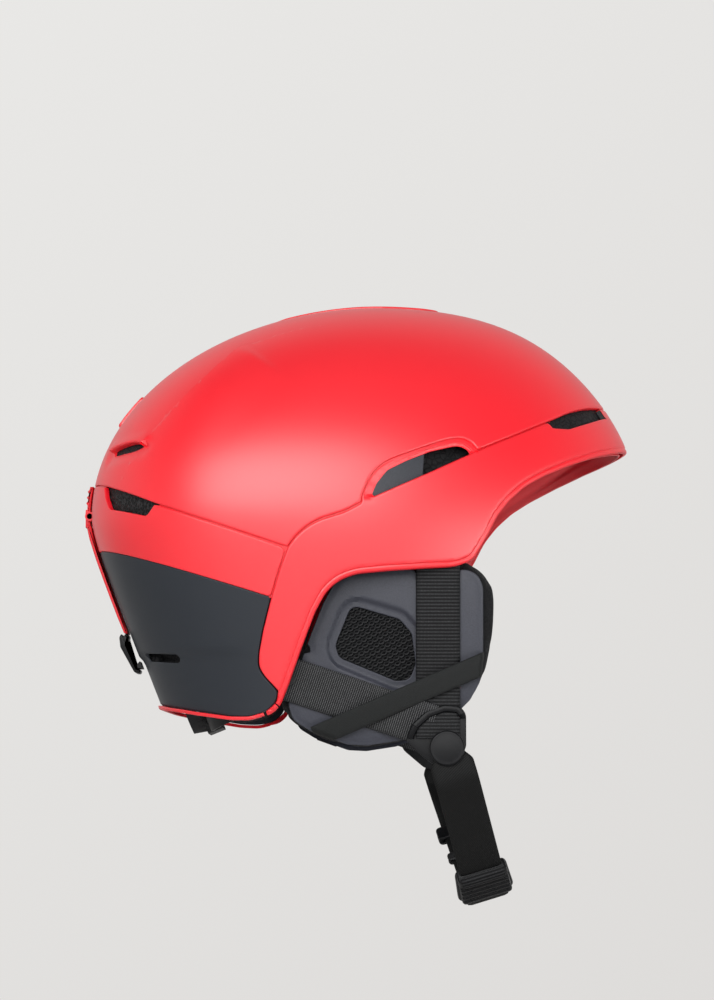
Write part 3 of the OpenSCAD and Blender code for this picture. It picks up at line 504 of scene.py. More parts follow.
def beadFoam():
    # fused beads of the liner
    f = Finish("beadFoam", (0.008, 0.008, 0.009), 0.62, specular=0.2)
    cells = f.add("ShaderNodeTexVoronoi", {"feature": "DISTANCE_TO_EDGE"},
                  {"Vector": f.place(), "Scale": 330.0})
    edge = (cells * 7.0).clamped()
    f.feed(color=f.blend(edge, (0.003, 0.003, 0.0035), (0.010, 0.010, 0.011)), roughness=0.74 - edge * 0.16)
    return f.bump(edge, 0.00022, 0.7)


def openFoam():
    # reticulated filter foam, speckled where its struts catch the light
    f = Finish("openFoam", (0.008, 0.008, 0.009), 0.6, specular=0.2)
    pores = f.add("ShaderNodeTexVoronoi", {"feature": "F1"}, {"Vector": f.place(), "Scale": 800.0})
    clumps = f.noise(420, 3)
    strut = (pores * 2.4 - 0.85 + (clumps - 0.5) * 1.5).clamped()
    f.feed(color=f.blend(strut, (0.001, 0.001, 0.001), (0.019, 0.019, 0.020)))
    return f.bump(strut, 0.0004, 0.9)


def brushedFabric():
    f = Finish("brushedFabric", (0.0085, 0.0085, 0.0095), 0.95, specular=0.08, sheen=0.07, sheenRoughness=0.5)
    fibre = f.noise(1500, 4, roughness=0.7)
    tuft = f.noise(520, 3)
    f.feed(color=f.blend((fibre - 0.25) * 2.0, (0.0035, 0.0035, 0.004), (0.015, 0.0152, 0.0165)))
    return f.bump(fibre + tuft * 0.9, 0.0005, 0.9)


def padJersey():
    # smooth lining fabric of the pads, small knit stitches
    f = Finish("padJersey", (0.011, 0.011, 0.012), 0.9, specular=0.15, sheen=0.1)
    x, y, z = f.axes(f.place())
    rib = ((x + z * 0.55) * 3900.0).sine() * ((y - z * 0.6 + x * 0.2) * 3900.0).sine()
    fibre = f.noise(1300, 3)
    f.feed(color=f.blend(rib * 0.32 + fibre * 0.7, (0.006, 0.006, 0.007), (0.021, 0.021, 0.023)))
    return f.bump(rib * 0.4 + fibre, 0.00016, 0.7)


def ribbedWebbing(name="ribbedWebbing", thread=(0.043, 0.044, 0.046), fine=9000.0, pitch=0.0017):
    # weave strands with a painted highlight on the crests of the ribs that the mesh has, and painted shade in
    # the grooves between them; the map is in metres, across then along
    ground = (0.0025, 0.0025, 0.003)
    f = Finish(name, ground, 0.6, specular=0.13)
    across, along, _ = f.axes(f.ownMap())
    strand = (across * fine).sine() * 0.5 + 0.5
    # painted shade: the colour follows the mesh's ribs, dark in the grooves and light on the crests
    rib = (along * (fullTurn / pitch) + math.pi / 2).sine() * 0.5 + 0.5
    fleck = f.noise(2200, 2)
    # the thread colour here is a painted highlight over the strands and flecks
    light = ((0.35 + strand * 0.65) * (fleck * 1.5) * (rib ** 1.6)).clamped()
    f.feed(color=f.blend(light, ground, thread))
    return f.bump(strand * 0.6 + fleck * 0.6, 0.00009, 0.7)


def twillWebbing(name="twillWebbing", thread=(0.017, 0.0175, 0.0175), ground=(0.0026, 0.0026, 0.0026),
                 pitch=0.0011, slope=0.55):
    # smooth webbing with fine diagonal lines
    f = Finish(name, ground, 0.6, specular=0.1)
    across, along, _ = f.axes(f.ownMap())
    k = fullTurn / pitch
    line = ((across * (k * slope)) + (along * k)).sine() * 0.5 + 0.5
    strand = (across * 8500.0).sine() * 0.5 + 0.5
    fleck = f.noise(2300, 2)
    f.feed(color=f.blend((line * (0.35 + fleck * 0.9) * (0.6 + strand * 0.4)).clamped(), ground, thread))
    return f.bump(line + fleck * 0.6, 0.00012, 0.7)


def meshYarn():
    f = Finish("meshYarn", (0.006, 0.006, 0.007), 0.5, specular=0.16)
    fibre = f.noise(2400, 3)
    f.feed(color=f.blend(fibre, (0.0045, 0.0047, 0.005), (0.0125, 0.013, 0.014)))
    return f.bump(fibre, 0.00008, 0.7)


def plainSteel():
    f = Finish("plainSteel", (0.42, 0.42, 0.44), 0.32, metallic=1.0)
    brush = f.noise(900, 3)
    f.feed(roughness=0.26 + brush * 0.16, color=f.blend(brush, (0.36, 0.36, 0.38), (0.48, 0.48, 0.50)))
    return f.bump(brush, 0.00001, 0.4)


finishes = {make.__name__: make() for make in (
    redShell, redRubber, slateShell, slatePlastic, blackPlastic, satinBlack, blackRubber, beadFoam, openFoam,
    brushedFabric, padJersey, ribbedWebbing, twillWebbing, meshYarn, plainSteel)}
# the rear strap's light thread colour is a painted highlight on its rib crests, with painted shade in the
# grooves
finishes["steepWebbing"] = ribbedWebbing("steepWebbing", thread=(0.12, 0.122, 0.125), fine=7800.0,
                                         pitch=0.00104)
finishes["slateInsert"] = slatePlastic("slateInsert", (0.030, 0.033, 0.040), 0.42, 0.00002)
finishes["elasticTwill"] = twillWebbing("elasticTwill", thread=(0.034, 0.036, 0.036),
                                        ground=(0.0055, 0.0058, 0.0058), pitch=0.0007, slope=-1.1)
print("finishes made")


crown = dict(
    edge=[[-150, 42], [-117, 28], [-84, 13.5], [-61, 5], [-38, -3], [-17.5, -10], [-14, -5], [-8, 0.5],
          [-1.5, 4], [11, 8], [19, 12.5], [19.5, 16], [23.5, 26], [30.5, 33], [46.5, 39.5], [61, 45],
          [69.5, 46.3], [74.5, 43.6], [77, 40.2], [95, 48.6], [117, 59.2], [126, 64.2], [136, 68], [180, 78]],
    sharp=[(-17.5, -10), (19, 12.5), (77, 40.2)],
    vents=[(41, 46), (50, 55)], ventOut=13.0, ventRadius=3.0,
    stem=(35.5, 29.6), stemRadius=2.9,
    exhaust=[(74, 44.4), (46, 43.2)], exhaustRadius=1.9,
    exhaustRadii=[0.5, 1.6, 2, 2.1, 2, 1.9, 1.8, 1.5, 0.8])
brow = dict(
    faceEdge=[[182, 54], [162, 48.8], [140, 41.4], [125.6, 35.5], [112, 29], [102, 23], [94, 15.7],
              [87.5, 7.5], [82.7, -2], [78.7, -9], [74.5, -15.5], [66, -18.6], [49, -19.8], [32, -21.2],
              [16.5, -22.8], [8, -26], [1.5, -31.8], [-4, -42], [-10.5, -58.5], [-17, -76], [-21.6, -87],
              [-26, -91.2], [-37, -93.5]],
    temple=[[24, 14.6], [27, 22], [32.5, 29], [42, 34], [54, 39.2], [66.5, 42.5], [70.5, 42.2], [75, 38.9],
            [53.3, 28.2]],
    vent=[[114, 54.2], [125, 54.6], [136, 59.3], [150, 66], [158, 73], [158, 90], [128, 66], [116, 60.4]],
    ventFrom=23.0, ventTo=63.0,
    belowTemple=[[10, -60], [85, -60], [85, 43], [53, 27.5], [20, 12.5]])
rearBand = dict(
    gap=[[-17.5, -10], [-19.5, -16], [-22, -23], [-25.3, -34], [-29.5, -50], [-31.8, -62], [-31.8, -68],
         [-29.3, -72.3], [-22.2, -79.9]],
    vent=[[-112.5, 30], [-80.5, 16], [-84.2, 12.6], [-88.3, 7.2], [-108.5, 12.9], [-111, 19.3]])
panel = dict(
    foot=[[-23.4, -85.5], [-28.9, -90.5], [-37, -92.5], [-47, -92.2], [-64, -89.6], [-80, -86.6],
          [-105, -79]],
    slot=[(39, -61.3), (67, -63.2)], slotRadius=2.5)
parting = 0.6


def rearRow(y, z):
    # place on the back of the skin at a height and a half width
    up = upAt(z)
    half = skinPoint(np.array([[up, math.pi / 2]]))[0, 1]
    return np.array([up, math.pi + math.asin(np.clip(y / abs(half), -1, 1))])


def skinPath(first, last, count, inset=0.0, pull=0.0):
    steps = np.linspace(0, 1, count)[:, None]
    return skinPoint(np.array(first) * (1 - steps) + np.array(last) * steps, inset, pull)


def nearLine(place, points):
    # how far a place lies past a line of places, and along it, in mm on the skin
    position = skinPoint(place)
    path = skinPoint(np.array(points))
    best, side, along = np.full(len(place), 1e9), np.zeros(len(place)), np.zeros(len(place))
    normal = skinNormal(place)
    lengths = np.concatenate([[0], np.cumsum(np.linalg.norm(np.diff(path, axis=0), axis=1))])
    for i, (a, b) in enumerate(zip(path[:-1], path[1:])):
        run = b - a
        t = np.clip((position - a) @ run / (run @ run), 0, 1)
        gap = position - a - t[:, None] * run
        far = np.linalg.norm(gap, axis=1)
        closer = far < best
        turned = (np.cross(normal, np.broadcast_to(run, gap.shape)) * gap).sum(axis=1)
        best = np.where(closer, far, best)
        side = np.where(closer, np.sign(turned), side)
        along = np.where(closer, (lengths[i] + t * np.linalg.norm(run)) / lengths[-1], along)
    return best * side, along


# the crown: one big shell, its rear fairing and the lips of the exhaust slots raised a little
fairing = dict(line=[[-31, 99], [-36, 97], [-42, 94.2], [-49, 87], [-58, 78], [-67, 70], [-77, 60],
                     [-86, 50.5]],
               height=2.6, width=0.9, fade=40.0)
fairingPath = {s: [skinAt(x, z, s) for x, z in rounded(fairing["line"], 14, closed=False, steps=3)]
               for s in (-1, 1)}
exhaustPath = {s: skinPath(*[rearRow(s * y, z) for y, z in crown["exhaust"]], 9) for s in (-1, 1)}


def fairingSide(s):
    def field(place):
        return nearLine(place, fairingPath[s])[0] * -s
    return field


def crownRelief(place, position, value):
    out = np.zeros(len(place))
    for s in (-1, 1):
        mine = np.sign(position[:, 1]) == s
        step, along = nearLine(place, fairingPath[s])
        step = step * -s
        strength = smoothStep(-0.02, 0.24, along) * (1 - smoothStep(0.42, 0.98, along) * 0.92)
        raised = smoothStep(-fairing["width"] / 2, fairing["width"] / 2, step)
        fade = 1 - smoothStep(0, fairing["fade"], step)
        # flat again where the vent knob slides
        aside = smoothStep(13, 30, np.abs(position[:, 1]))
        out += np.where(mine, fairing["height"] * strength * raised * fade * aside, 0)
        # lip above the exhaust slot, scoop below it
        gap = awayFrom(exhaustPath[s], crown["exhaustRadius"])(place)
        above = position[:, 2] - 44.0
        out += np.where(mine & (above > 0), 1.5 * (1 - smoothStep(0, 7, gap)), 0)
        out -= np.where(mine & (above <= 0), 1.7 * (1 - smoothStep(0, 8, gap)), 0)
    return out


def ventRow(y, lat):
    up = math.radians(lat) * skin["crownHeight"]
    half = abs(skinPoint(np.array([[up, math.pi / 2]]))[0, 1])
    return np.array([up, math.pi + math.asin(y / half)])


crownOutline = rounded(crown["edge"] + [[180, 140], [-150, 140]], sharp=crown["sharp"])


def crownShell():
    holes = [awayFrom(skinPath(ventRow(s * crown["ventOut"], a), ventRow(s * crown["ventOut"], b), 4),
                      crown["ventRadius"]) for s in (-1, 1) for a, b in crown["vents"]]
    holes += [awayFrom(path, crown["exhaustRadii"]) for path in exhaustPath.values()]
    stem = awayFrom(skinPath(*[ventRow(0, lat) for lat in crown["stem"]], 4), crown["stemRadius"])
    field = both(sideView(crownOutline), stem, *holes)
    creases = [(fairingSide(s), (-0.55, 0.0, 0.55)) for s in (-1, 1)]
    points, faces = skinShell(field, -30, skin["crownArc"], relief=crownRelief, fillet=1.0, creases=creases)
    makePiece("crownShell", points, faces, finishes["redShell"], "helmet", "red_shell", ["crown_shell"])


lowerEdge = rounded([[182, 200]] + brow["faceEdge"] + [[-150, -93.5], [-150, 200]])


def browRelief(place, position, value):
    # the strip between the crown's edge and the temple vent slopes inwards to the vent
    seen = position[:, [0, 2]]
    low = sideView(lowerEdge)(place)
    depth = 0.9 - 0.6 * smoothStep(110, 150, position[:, 0])
    rolled = -depth * (1 - smoothStep(0, 4.6, low)) - 0.5 * np.exp(-((low - 2.5) / 0.42) ** 2)
    toVent = -outlineDistance(templeOutline, seen)[0]
    above = smoothStep(0, 2.0, -outlineDistance(np.array(brow["belowTemple"]), seen)[0])
    return rolled - 2.2 * above * (1 - smoothStep(0.3, 6.5, toVent))


templeOutline = rounded(brow["temple"], 6, sharp=[(24, 14.6), (75, 38.9)], sharpRadius=0.8)


def browShell():
    sharp = crown["sharp"] + [tuple(panel["foot"][0]), tuple(rearBand["gap"][-1])]
    edge = [[x, z - parting] for x, z in crown["edge"][5:]]
    sharp += [(x, z - parting) for x, z in crown["sharp"]]
    outline = rounded(edge + brow["faceEdge"] + [[x, z - 0.1] for x, z in panel["foot"][2::-1]]
                      + rearBand["gap"][:0:-1], sharp=sharp)
    temple = sideView(templeOutline)
    vent = sideView(rounded(brow["vent"], 2.2))

    def browVent(place):
        y = np.abs(skinPoint(place)[:, 1])
        return np.minimum.reduce([vent(place), y - brow["ventFrom"], brow["ventTo"] - y])
    field = both(sideView(outline), outside(temple), outside(browVent))
    points, faces = skinShell(field, -114, 75, fillet=0.9, wall=2.4, relief=browRelief, rowStep=2.0,
                              columns=360, creases=[(sideView(lowerEdge), (1.8, 2.5, 3.2, 4.6))])
    shell = makePiece("browSideShell", points, faces, finishes["redShell"], "helmet", "red_shell",
                      ["brow_side_shell"])
    # the cut ends of the front vents get black plastic: painted shade inside the vents
    shell.data.materials.append(finishes["blackPlastic"])
    for face in shell.data.polygons:
        atEnd = abs(abs(face.center.y) - brow["ventFrom"] * mm) < 0.9 * mm and face.center.x > 0.1
        if atEnd and abs(face.normal.y) > 0.6:
            face.material_index = 1


def brimFlange():
    # the moulded return inside the face edge, deepest under the brim
    edge = sideView(lowerEdge)

    def reach(position):
        return 8.5 + 17 * smoothStep(104, 156, position[:, 0])

    def zone(place):
        position, far = skinPoint(place), edge(place)
        return np.minimum.reduce([far, reach(position) - far, position[:, 0] - 66])

    def fold(place, position, value):
        far, wide = np.maximum(edge(place), 0), reach(position)
        ridge = 0.9 * np.exp(-((far - 0.36 * wide) / (0.5 + 0.05 * wide)) ** 2)
        inwards = 6.5 * smoothStep(-0.2, 1.1, far / wide) + 1.2 * smoothStep(110, 150, position[:, 0])
        return ridge - (1.0 + inwards)
    points, faces = skinShell(zone, -50, 60, outer=1.7, wall=1.0, fillet=0.4, relief=fold, under=fold,
                              rowStep=1.3, columns=560)
    makePiece("brimFlange", points, faces, finishes["redShell"], "helmet", "red_shell")


def slotPath(s):
    return skinPath(*[rearRow(s * y, z) for y, z in panel["slot"]], 7)


def seamUnderlay():
    # the shells' lapped edges, seen as a dark red line in the seams
    seams = [sideView(crownOutline),
             sideView(rounded(rearBand["gap"][:4] + [[-150, 5.2], [-150, 41]], sharp=[(-17.5, -10)]))]
    vents = [sideView(rounded(outline, 2.2)) for outline in (brow["vent"], rearBand["vent"], brow["temple"])]

    def near(place):
        past = np.minimum.reduce([-1.5 - vent(place) for vent in vents])
        lap = np.maximum(2.2 - np.abs(seams[0](place)), 2.2 - np.abs(seams[1](place)))
        return np.minimum(past, np.where(skinPoint(place)[:, 2] > -37, lap, -5))
    points, faces = skinShell(near, -56, 75, outer=1.5, wall=0.8, fillet=0.2, rowStep=1.5, columns=440)
    makePiece("seamUnderlay", points, faces, finishes["redShell"], "helmet", "red_shell")


def rearShells():
    outline = rounded([[-150, 42 - 0.6]] + [[x, z - 0.6] for x, z in crown["edge"][1:5]] + [[-18.6, -10.6]]
                      + [[x - 0.6, z] for x, z in rearBand["gap"][1:4]] + [[-150, 5.3]],
                      sharp=[(-18.6, -10.6), (-25.9, -34)], sharpRadius=0.5)
    rearVent = rounded(rearBand["vent"], 2.5)
    field = both(sideView(outline), outside(sideView(rearVent)))
    points, faces = skinShell(field, -60, 45, fillet=0.5)
    makePiece("rearShellBand", points, faces, finishes["redShell"], "helmet", "red_shell",
              ["rear_shell_band"])

    gap = rearBand["gap"]
    outline = rounded([[x - 0.6, z - 0.15] for x, z in gap[3:]]
                      + [[x - 0.3, z + 0.25] for x, z in panel["foot"]] + [[-150, -60], [-150, 5.15]],
                      sharp=[(-25.9, -34.1), (-22.8, -80.1)])
    slots = [awayFrom(slotPath(s), panel["slotRadius"]) for s in (-1, 1)]
    field = both(sideView(outline), *slots)

    def stepIn(place, position, value):
        # the panel draws in below its slots
        return -1.5 * smoothStep(-58.5, -63, position[:, 2]) * smoothStep(-30, -60, position[:, 0])
    points, faces = skinShell(field, -112, -10, outer=0.3, wall=2.1, fillet=0.4, relief=stepIn)
    makePiece("rearLowerPanel", points, faces, finishes["slateShell"], "helmet", "slate_shell",
              ["rear_lower_panel"])

    foot = rounded([[-31, -90.8]] + panel["foot"][2:] + [[-118, -75]], closed=False)
    bead = np.concatenate([foot, (foot - [0, 1.7])[::-1]])
    points, faces = skinShell(sideView(bead), -114, -80, outer=0.1, wall=2.3, fillet=0.45, rowStep=1.0)
    makePiece("rimBead", points, faces, finishes["redShell"], "helmet", "red_shell", ["rim_bead"])


def crownStrip():
    half = [[-27, 0], [-26, -9], [-20, -15], [30, -17], [52, -12], [59, -6], [60, 0]]
    outline = rounded(half + [[x, -y] for x, y in half[-2:0:-1]], 5)
    field = sideView(outline, axes=(0, 1))
    points, faces = skinShell(field, 120, skin["crownArc"], outer=-0.9, wall=0.9, fillet=0.75, rowStep=2.0)
    makePiece("crownStrip", points, faces, finishes["redShell"], "helmet", "red_shell", ["crown_strip"])


crownShell()
browShell()
brimFlange()
seamUnderlay()
rearShells()
crownStrip()
print("shells made")


liner = dict(outer=2.7, thick=17.0, pull=34.0,
             edge=[[147, 70], [146, 62], [128, 53], [104, 40], [94, 31], [85, 21], [77, 11], [70, 1],
                   [58, -5], [18, -7], [4, -12], [-7, -32], [-14, -58], [-21, -77], [-30, -89],
                   [-42, -91], [-62, -89.5], [-84, -85], [-130, -72], [-150, 0], [-130, 160], [128, 160]],
             channelDeep=4.0)
pads = dict(inset=20.0, thick=7.0,
            brow=[[-72, 33], [72, 33], [62, 56], [-62, 56]],
            crown=[[-78, -13], [-30, -15], [-22, -44], [16, -48], [22, -16], [62, -14]],
            side=[[-62, 10], [14, 18], [24, 34], [8, 52], [-52, 48]],
            nape=[[-46, -8], [46, -8], [36, -38], [-36, -38]], corner=7.0)


def shutterPocket(position):
    # room behind the crown for the vent's shutter and its travel
    angle = np.degrees(np.arctan2(position[:, 2] - vent["center"][1], position[:, 0] - vent["center"][0]))
    along = np.minimum(angle - (vent["angle"] - 40), vent["angle"] + 18 - angle)
    inside = np.minimum(along, (24 - np.abs(position[:, 1])) * 0.8)
    return 2.9 * smoothStep(-1, 1, inside)


def makeLiner():
    outline = rounded(liner["edge"], sharp=[(147, 70)], sharpRadius=3)
    notch = sideView(rounded([[-15, -64], [15, -64], [16, -125], [-16, -125]], 5), axes=(1, 2),
                     inset=liner["outer"])

    def dialNotch(place):
        behind = skinPoint(place)[:, 0] < 0
        return np.where(behind, -notch(place), 50)
    inset = liner["outer"] + liner["thick"]
    paths = [[(22 + 20 * i, s * 24), (42 + 20 * i, s * 30)] for s in (-1, 1) for i in range(3)]
    paths += [[(20 + 20 * i, s * 155), (40 + 20 * i, s * 150)] for s in (-1, 1) for i in range(3)]
    channels = []
    for (lat0, turn0), (lat1, turn1) in paths:
        ends = [(math.radians(lat) * skin["crownHeight"], math.radians(turn))
                for lat, turn in ((lat0, turn0), (lat1, turn1))]
        channels.append(skinPath(*ends, 5, inset, liner["pull"]))

    def channelDepth(place, position, value):
        depth = np.zeros(len(position))
        for path in channels:
            gap = pathGap(position, path)
            depth = np.maximum(depth, liner["channelDeep"] * (1 - smoothStep(2.5, 7.5, gap)))
        return depth + roundedBy(value, 2.2)

    behindVents = [(rounded(lining[part], 3), deep) for part, deep in
                   (("temple", 3.3), ("passage", 7.0), ("filter", 3.3))]
    panelSlots = both(*[awayFrom(slotPath(s), 4.5) for s in (-1, 1)])

    def pocket(place, position, value):
        out = np.minimum(-shutterPocket(position), -6 * smoothStep(0.5, -1.0, panelSlots(place)))
        for shape, deep in behindVents:
            inside = outlineDistance(shape, position[:, [0, 2]])[0]
            out = np.minimum(out, -deep * smoothStep(-1.5, 0.0, inside))
        return out
    field = both(sideView(outline, inset=liner["outer"]), dialNotch)
    points, faces = skinShell(field, -112, skin["crownArc"], outer=liner["outer"], wall=liner["thick"],
                              innerPull=liner["pull"], fillet=2.2, under=channelDepth, relief=pocket,
                              rowStep=2.8, columns=260)
    makePiece("impactLiner", points, faces, finishes["beadFoam"], "helmet", "black_foam", ["impact_liner"])


def makePad(name, node, field, low, high, turns, seams=None):
    # a crowned pad on the liner's inner face, its rim stitched down
    def cushion(place, position, value):
        edge = roundedBy(value, 3.0)
        swell = -1.1 * smoothStep(5.0, 18.0, value)
        groove = 1.1 * np.exp(-((value - 5.0) / 0.9) ** 2)
        if seams:
            groove = groove + seams(position)
        return edge + swell + groove
    points, faces = skinShell(field, low, high, outer=pads["inset"], wall=pads["thick"], pull=liner["pull"],
                              fillet=2.0, under=cushion, rowStep=1.7, turns=turns,
                              columns=int(abs(turns[1] - turns[0]) / fullTurn * 420))
    piece = makePiece(name, points, faces, finishes["padJersey"], "helmet", "black_fabric", [node], smooth=50)


def makePads():
    inset, pull, corner = pads["inset"], liner["pull"], pads["corner"]

    def view(outline, axes):
        return sideView(rounded(outline, corner), axes, inset, pull)

    def crossRib(position):
        # quilting lines across the crown pad
        wave = np.minimum(np.abs(position[:, 0] + 29), np.abs(position[:, 0] - 21))
        return 1.2 * np.exp(-(wave / 0.9) ** 2)
    makePad("browPad", "brow_pad", view(pads["brow"], (1, 2)), 10, 62, (-1.45, 1.45))
    crownHalf = pads["crown"]
    makePad("crownPad", "crown_pad", view(crownHalf + [[x, -y] for x, y in crownHalf[::-1]], (0, 1)), 60,
            skin["crownArc"], (0.0, fullTurn), crossRib)
    makePad("rightSidePad", "right_side_pad", view(pads["side"], (0, 2)), -12, 60, (0.5, 2.9))
    makePad("leftSidePad", "left_side_pad", view(pads["side"], (0, 2)), -12, 60, (3.4, 5.8))
    makePad("napePad", "nape_pad", view(pads["nape"], (1, 2)), -60, -15, (2.2, 4.1))


lining = dict(temple=[[17, 8], [23, 30], [31, 38], [70, 50], [84, 43], [53, 22]],
              passage=[[49.5, 26], [51, 50], [80, 50], [80, 34], [60, 24]],
              filter=[[-114, 32], [-78, 18], [-86, 3], [-112, 10]])
vent = dict(center=(-16.78, 0.52), radius=108.5, angle=140.9, knobHalf=10.0, knobWidth=14.0)


ear = dict(face=87.0, tuck=0.00165, frameThick=1.6, cushionThick=15.0,
           outline=[[10, -15], [66, -13], [80, -20], [85.5, -31], [85, -48], [82.5, -66], [77, -81],
                    [66, -92], [52, -100], [36, -106], [20, -108], [2, -104.5], [-12, -98], [-23, -91],
                    [-16, -72], [-6, -50], [0, -34]],
           frame=[[10, -20], [45, -19], [46, -21.5], [54, -21.5], [67, -20.6], [68.6, -19.4], [72, -19.6],
                  [77, -22], [79.5, -28], [79.5, -62], [78, -75], [73, -84], [66, -91], [52, -99], [38, -104],
                  [22, -106.5], [12, -106], [-6, -99.5], [-15, -94], [-17.5, -86], [-12, -68], [-9.6, -61],
                  [-6.4, -60.4], [-6.8, -57.6], [-8.2, -56.8], [-4, -46], [0, -36], [5, -27]],
           window=[[14, -37], [38, -44], [44, -51], [46, -66], [43, -74], [36, -74.5], [8, -63], [6, -57]],
           recess=2.1, recessWidth=4.6)


def earFace(z):
    return ear["face"] - ear["tuck"] * np.maximum(0, -20 - z) ** 2


def earSlope(z):
    return 2 * ear["tuck"] * np.maximum(0, -20 - z)


def onEar(x, z, out):
    # place over the right ear piece's outer face
    return np.array([x, -(earFace(z) + out), z])


def earSheet(field, box, thick, relief, fillet, step, out=0.0):
    # a wall over the right ear piece's face; places are (z, -x)
    (x0, x1), (z0, z1) = box
    places, faces = skinGrid(z0, z1, step, int((x1 - x0) / step), (-x1, -x0))
    places, faces, value = onlyUsed(*cutOut(places, faces, field, fillet, 1.4))
    z, x = places[:, 0], -places[:, 1]
    raised = relief(x, z, value)
    outer = np.stack([x, -(earFace(z) + out - roundedBy(value, fillet) + raised), z], 1)
    inner = np.stack([x, -(earFace(z) + out - thick + raised * 0.9), z], 1)
    return walled(outer, inner, faces)


def flat(outline):
    # distance inside an outline on the ear piece, for places (z, -x)
    def field(place):
        return outlineDistance(outline, np.stack([-place[:, 1], place[:, 0]], 1))[0]
    return field


def bothSides(name, node, shape, material, slot, smooth=32, uv=None):
    pieces = []
    for side, solid in (("right", shape), ("left", mirrored(shape))):
        nodes = [f"{side}_{node}"] if node else []
        pieces.append(makePiece(side + name, *solid, finishes[material], "helmet", slot, nodes, smooth, uv))
    return pieces


def earFrames():
    outline = rounded(ear["frame"], 7, sharp=[(45, -19), (46, -21.5), (67, -20.6), (68.6, -19.4), (-9.6, -61),
                                             (-6.4, -60.4), (-6.8, -57.6), (-8.2, -56.8)], sharpRadius=0.6)
    window = rounded(ear["window"], 5)
    rim = rounded(ear["window"], 7)

    def relief(x, z, value):
        gap = -outlineDistance(rim, np.stack([x, z], 1))[0]
        wide = ear["recessWidth"]
        bowl = -1.15 * ear["recess"] * (1 - smoothStep(wide - 1.5, wide + 0.8, gap))
        bevel = -0.5 * (1 - smoothStep(0.8, 3.5, outlineDistance(outline, np.stack([x, z], 1))[0]))
        return bowl + bevel
    field = both(flat(outline), outside(flat(window)))
    shape = earSheet(field, ((-19, 82), (-108, -17)), ear["frameThick"], relief, 0.5, step=1.15)
    bothSides("EarFrame", "ear_frame", shape, "slatePlastic", "slate_insert", smooth=40)


def linkTree():
    # knitted net: one yarn loop on each point, its long side along the rows
    tree = bpy.data.node_groups.new("knitLoops", "GeometryNodeTree")
    face = tree.interface
    face.new_socket("Geometry", in_out="INPUT", socket_type="NodeSocketGeometry")
    for label, value in (("Hole Length", 0.0024), ("Hole Width", 0.0017), ("Yarn Radius", 0.00042),
                         ("Row Angle", 0.35)):
        socket = face.new_socket(label, in_out="INPUT", socket_type="NodeSocketFloat")
        socket.default_value = value
    face.new_socket("Material", in_out="INPUT", socket_type="NodeSocketMaterial")
    face.new_socket("Geometry", in_out="OUTPUT", socket_type="NodeSocketGeometry")
    net = Builder(tree)
    inside = net.add("NodeGroupInput").socket.node

    def given(label):
        return Wire(net, inside.outputs[label])
    size = net.add("ShaderNodeCombineXYZ", {}, {0: given("Hole Length"), 1: given("Hole Width"), 2: 1.0})
    ring = net.add("GeometryNodeCurvePrimitiveCircle", {}, {"Resolution": 9, "Radius": 0.5})
    oval = net.add("GeometryNodeTransform", {}, {"Geometry": ring, "Scale": size})
    yarn = net.add("GeometryNodeCurvePrimitiveCircle", {}, {"Resolution": 5, "Radius": given("Yarn Radius")})
    sweep = net.add("GeometryNodeCurveToMesh", {}, {"Curve": oval, "Profile Curve": yarn})
    facing = net.add("GeometryNodeInputNamedAttribute", {"data_type": "FLOAT_VECTOR"}, {"Name": "facing"})
    upright = net.add("FunctionNodeAlignRotationToVector", {"axis": "Z"}, {"Vector": facing})
    turn = net.add("ShaderNodeCombineXYZ", {}, {2: given("Row Angle")})
    tilt = net.add("FunctionNodeRotateRotation", {"rotation_space": "LOCAL"}, {0: upright, 1: turn})
    place = net.add("GeometryNodeInstanceOnPoints", {},
                    {"Points": given("Geometry"), "Instance": sweep, "Rotation": tilt})
    real = net.add("GeometryNodeRealizeInstances", {}, {0: place})
    paint = net.add("GeometryNodeSetMaterial", {}, {"Geometry": real, "Material": given("Material")})
    net.add("NodeGroupOutput", {}, {0: paint})
    return tree


def fromTree(name, tree, points, values, facing):
    # the tree's result on loose carrier points, as a plain mesh
    carrier = bpy.data.meshes.new(name + "Carrier")
    carrier.from_pydata((np.asarray(points, float) * mm).tolist(), [], [])
    directions = carrier.attributes.new("facing", "FLOAT_VECTOR", "POINT")
    directions.data.foreach_set("vector", np.asarray(facing, float).ravel())
    obj = bpy.data.objects.new(name + "Carrier", carrier)
    bpy.context.scene.collection.objects.link(obj)
    modifier = obj.modifiers.new("tree", "NODES")
    modifier.node_group = tree
    for item in tree.interface.items_tree:
        if item.item_type == "SOCKET" and item.in_out == "INPUT" and item.name in values:
            modifier[item.identifier] = values[item.name]
    graph = bpy.context.evaluated_depsgraph_get()
    mesh = bpy.data.meshes.new_from_object(obj.evaluated_get(graph))
    bpy.data.objects.remove(obj)
    mesh.name = name
    return mesh


def pieceFrom(mesh, name, body, slot, nodes=(), smooth=45):
    shade(mesh, smooth)
    piece = bpy.data.objects.new(name, mesh)
    bpy.context.scene.collection.objects.link(piece)
    settle(piece, body, slot, nodes)
    return piece


knit = dict(rowStep=(3.1, -1.28), nextRow=(0.62, -2.68), sunk=4.3, margin=0.9, backingDeep=5.1,
            holeLength=0.0027, holeWidth=0.0019, yarn=0.00046, rowAngle=0.33)


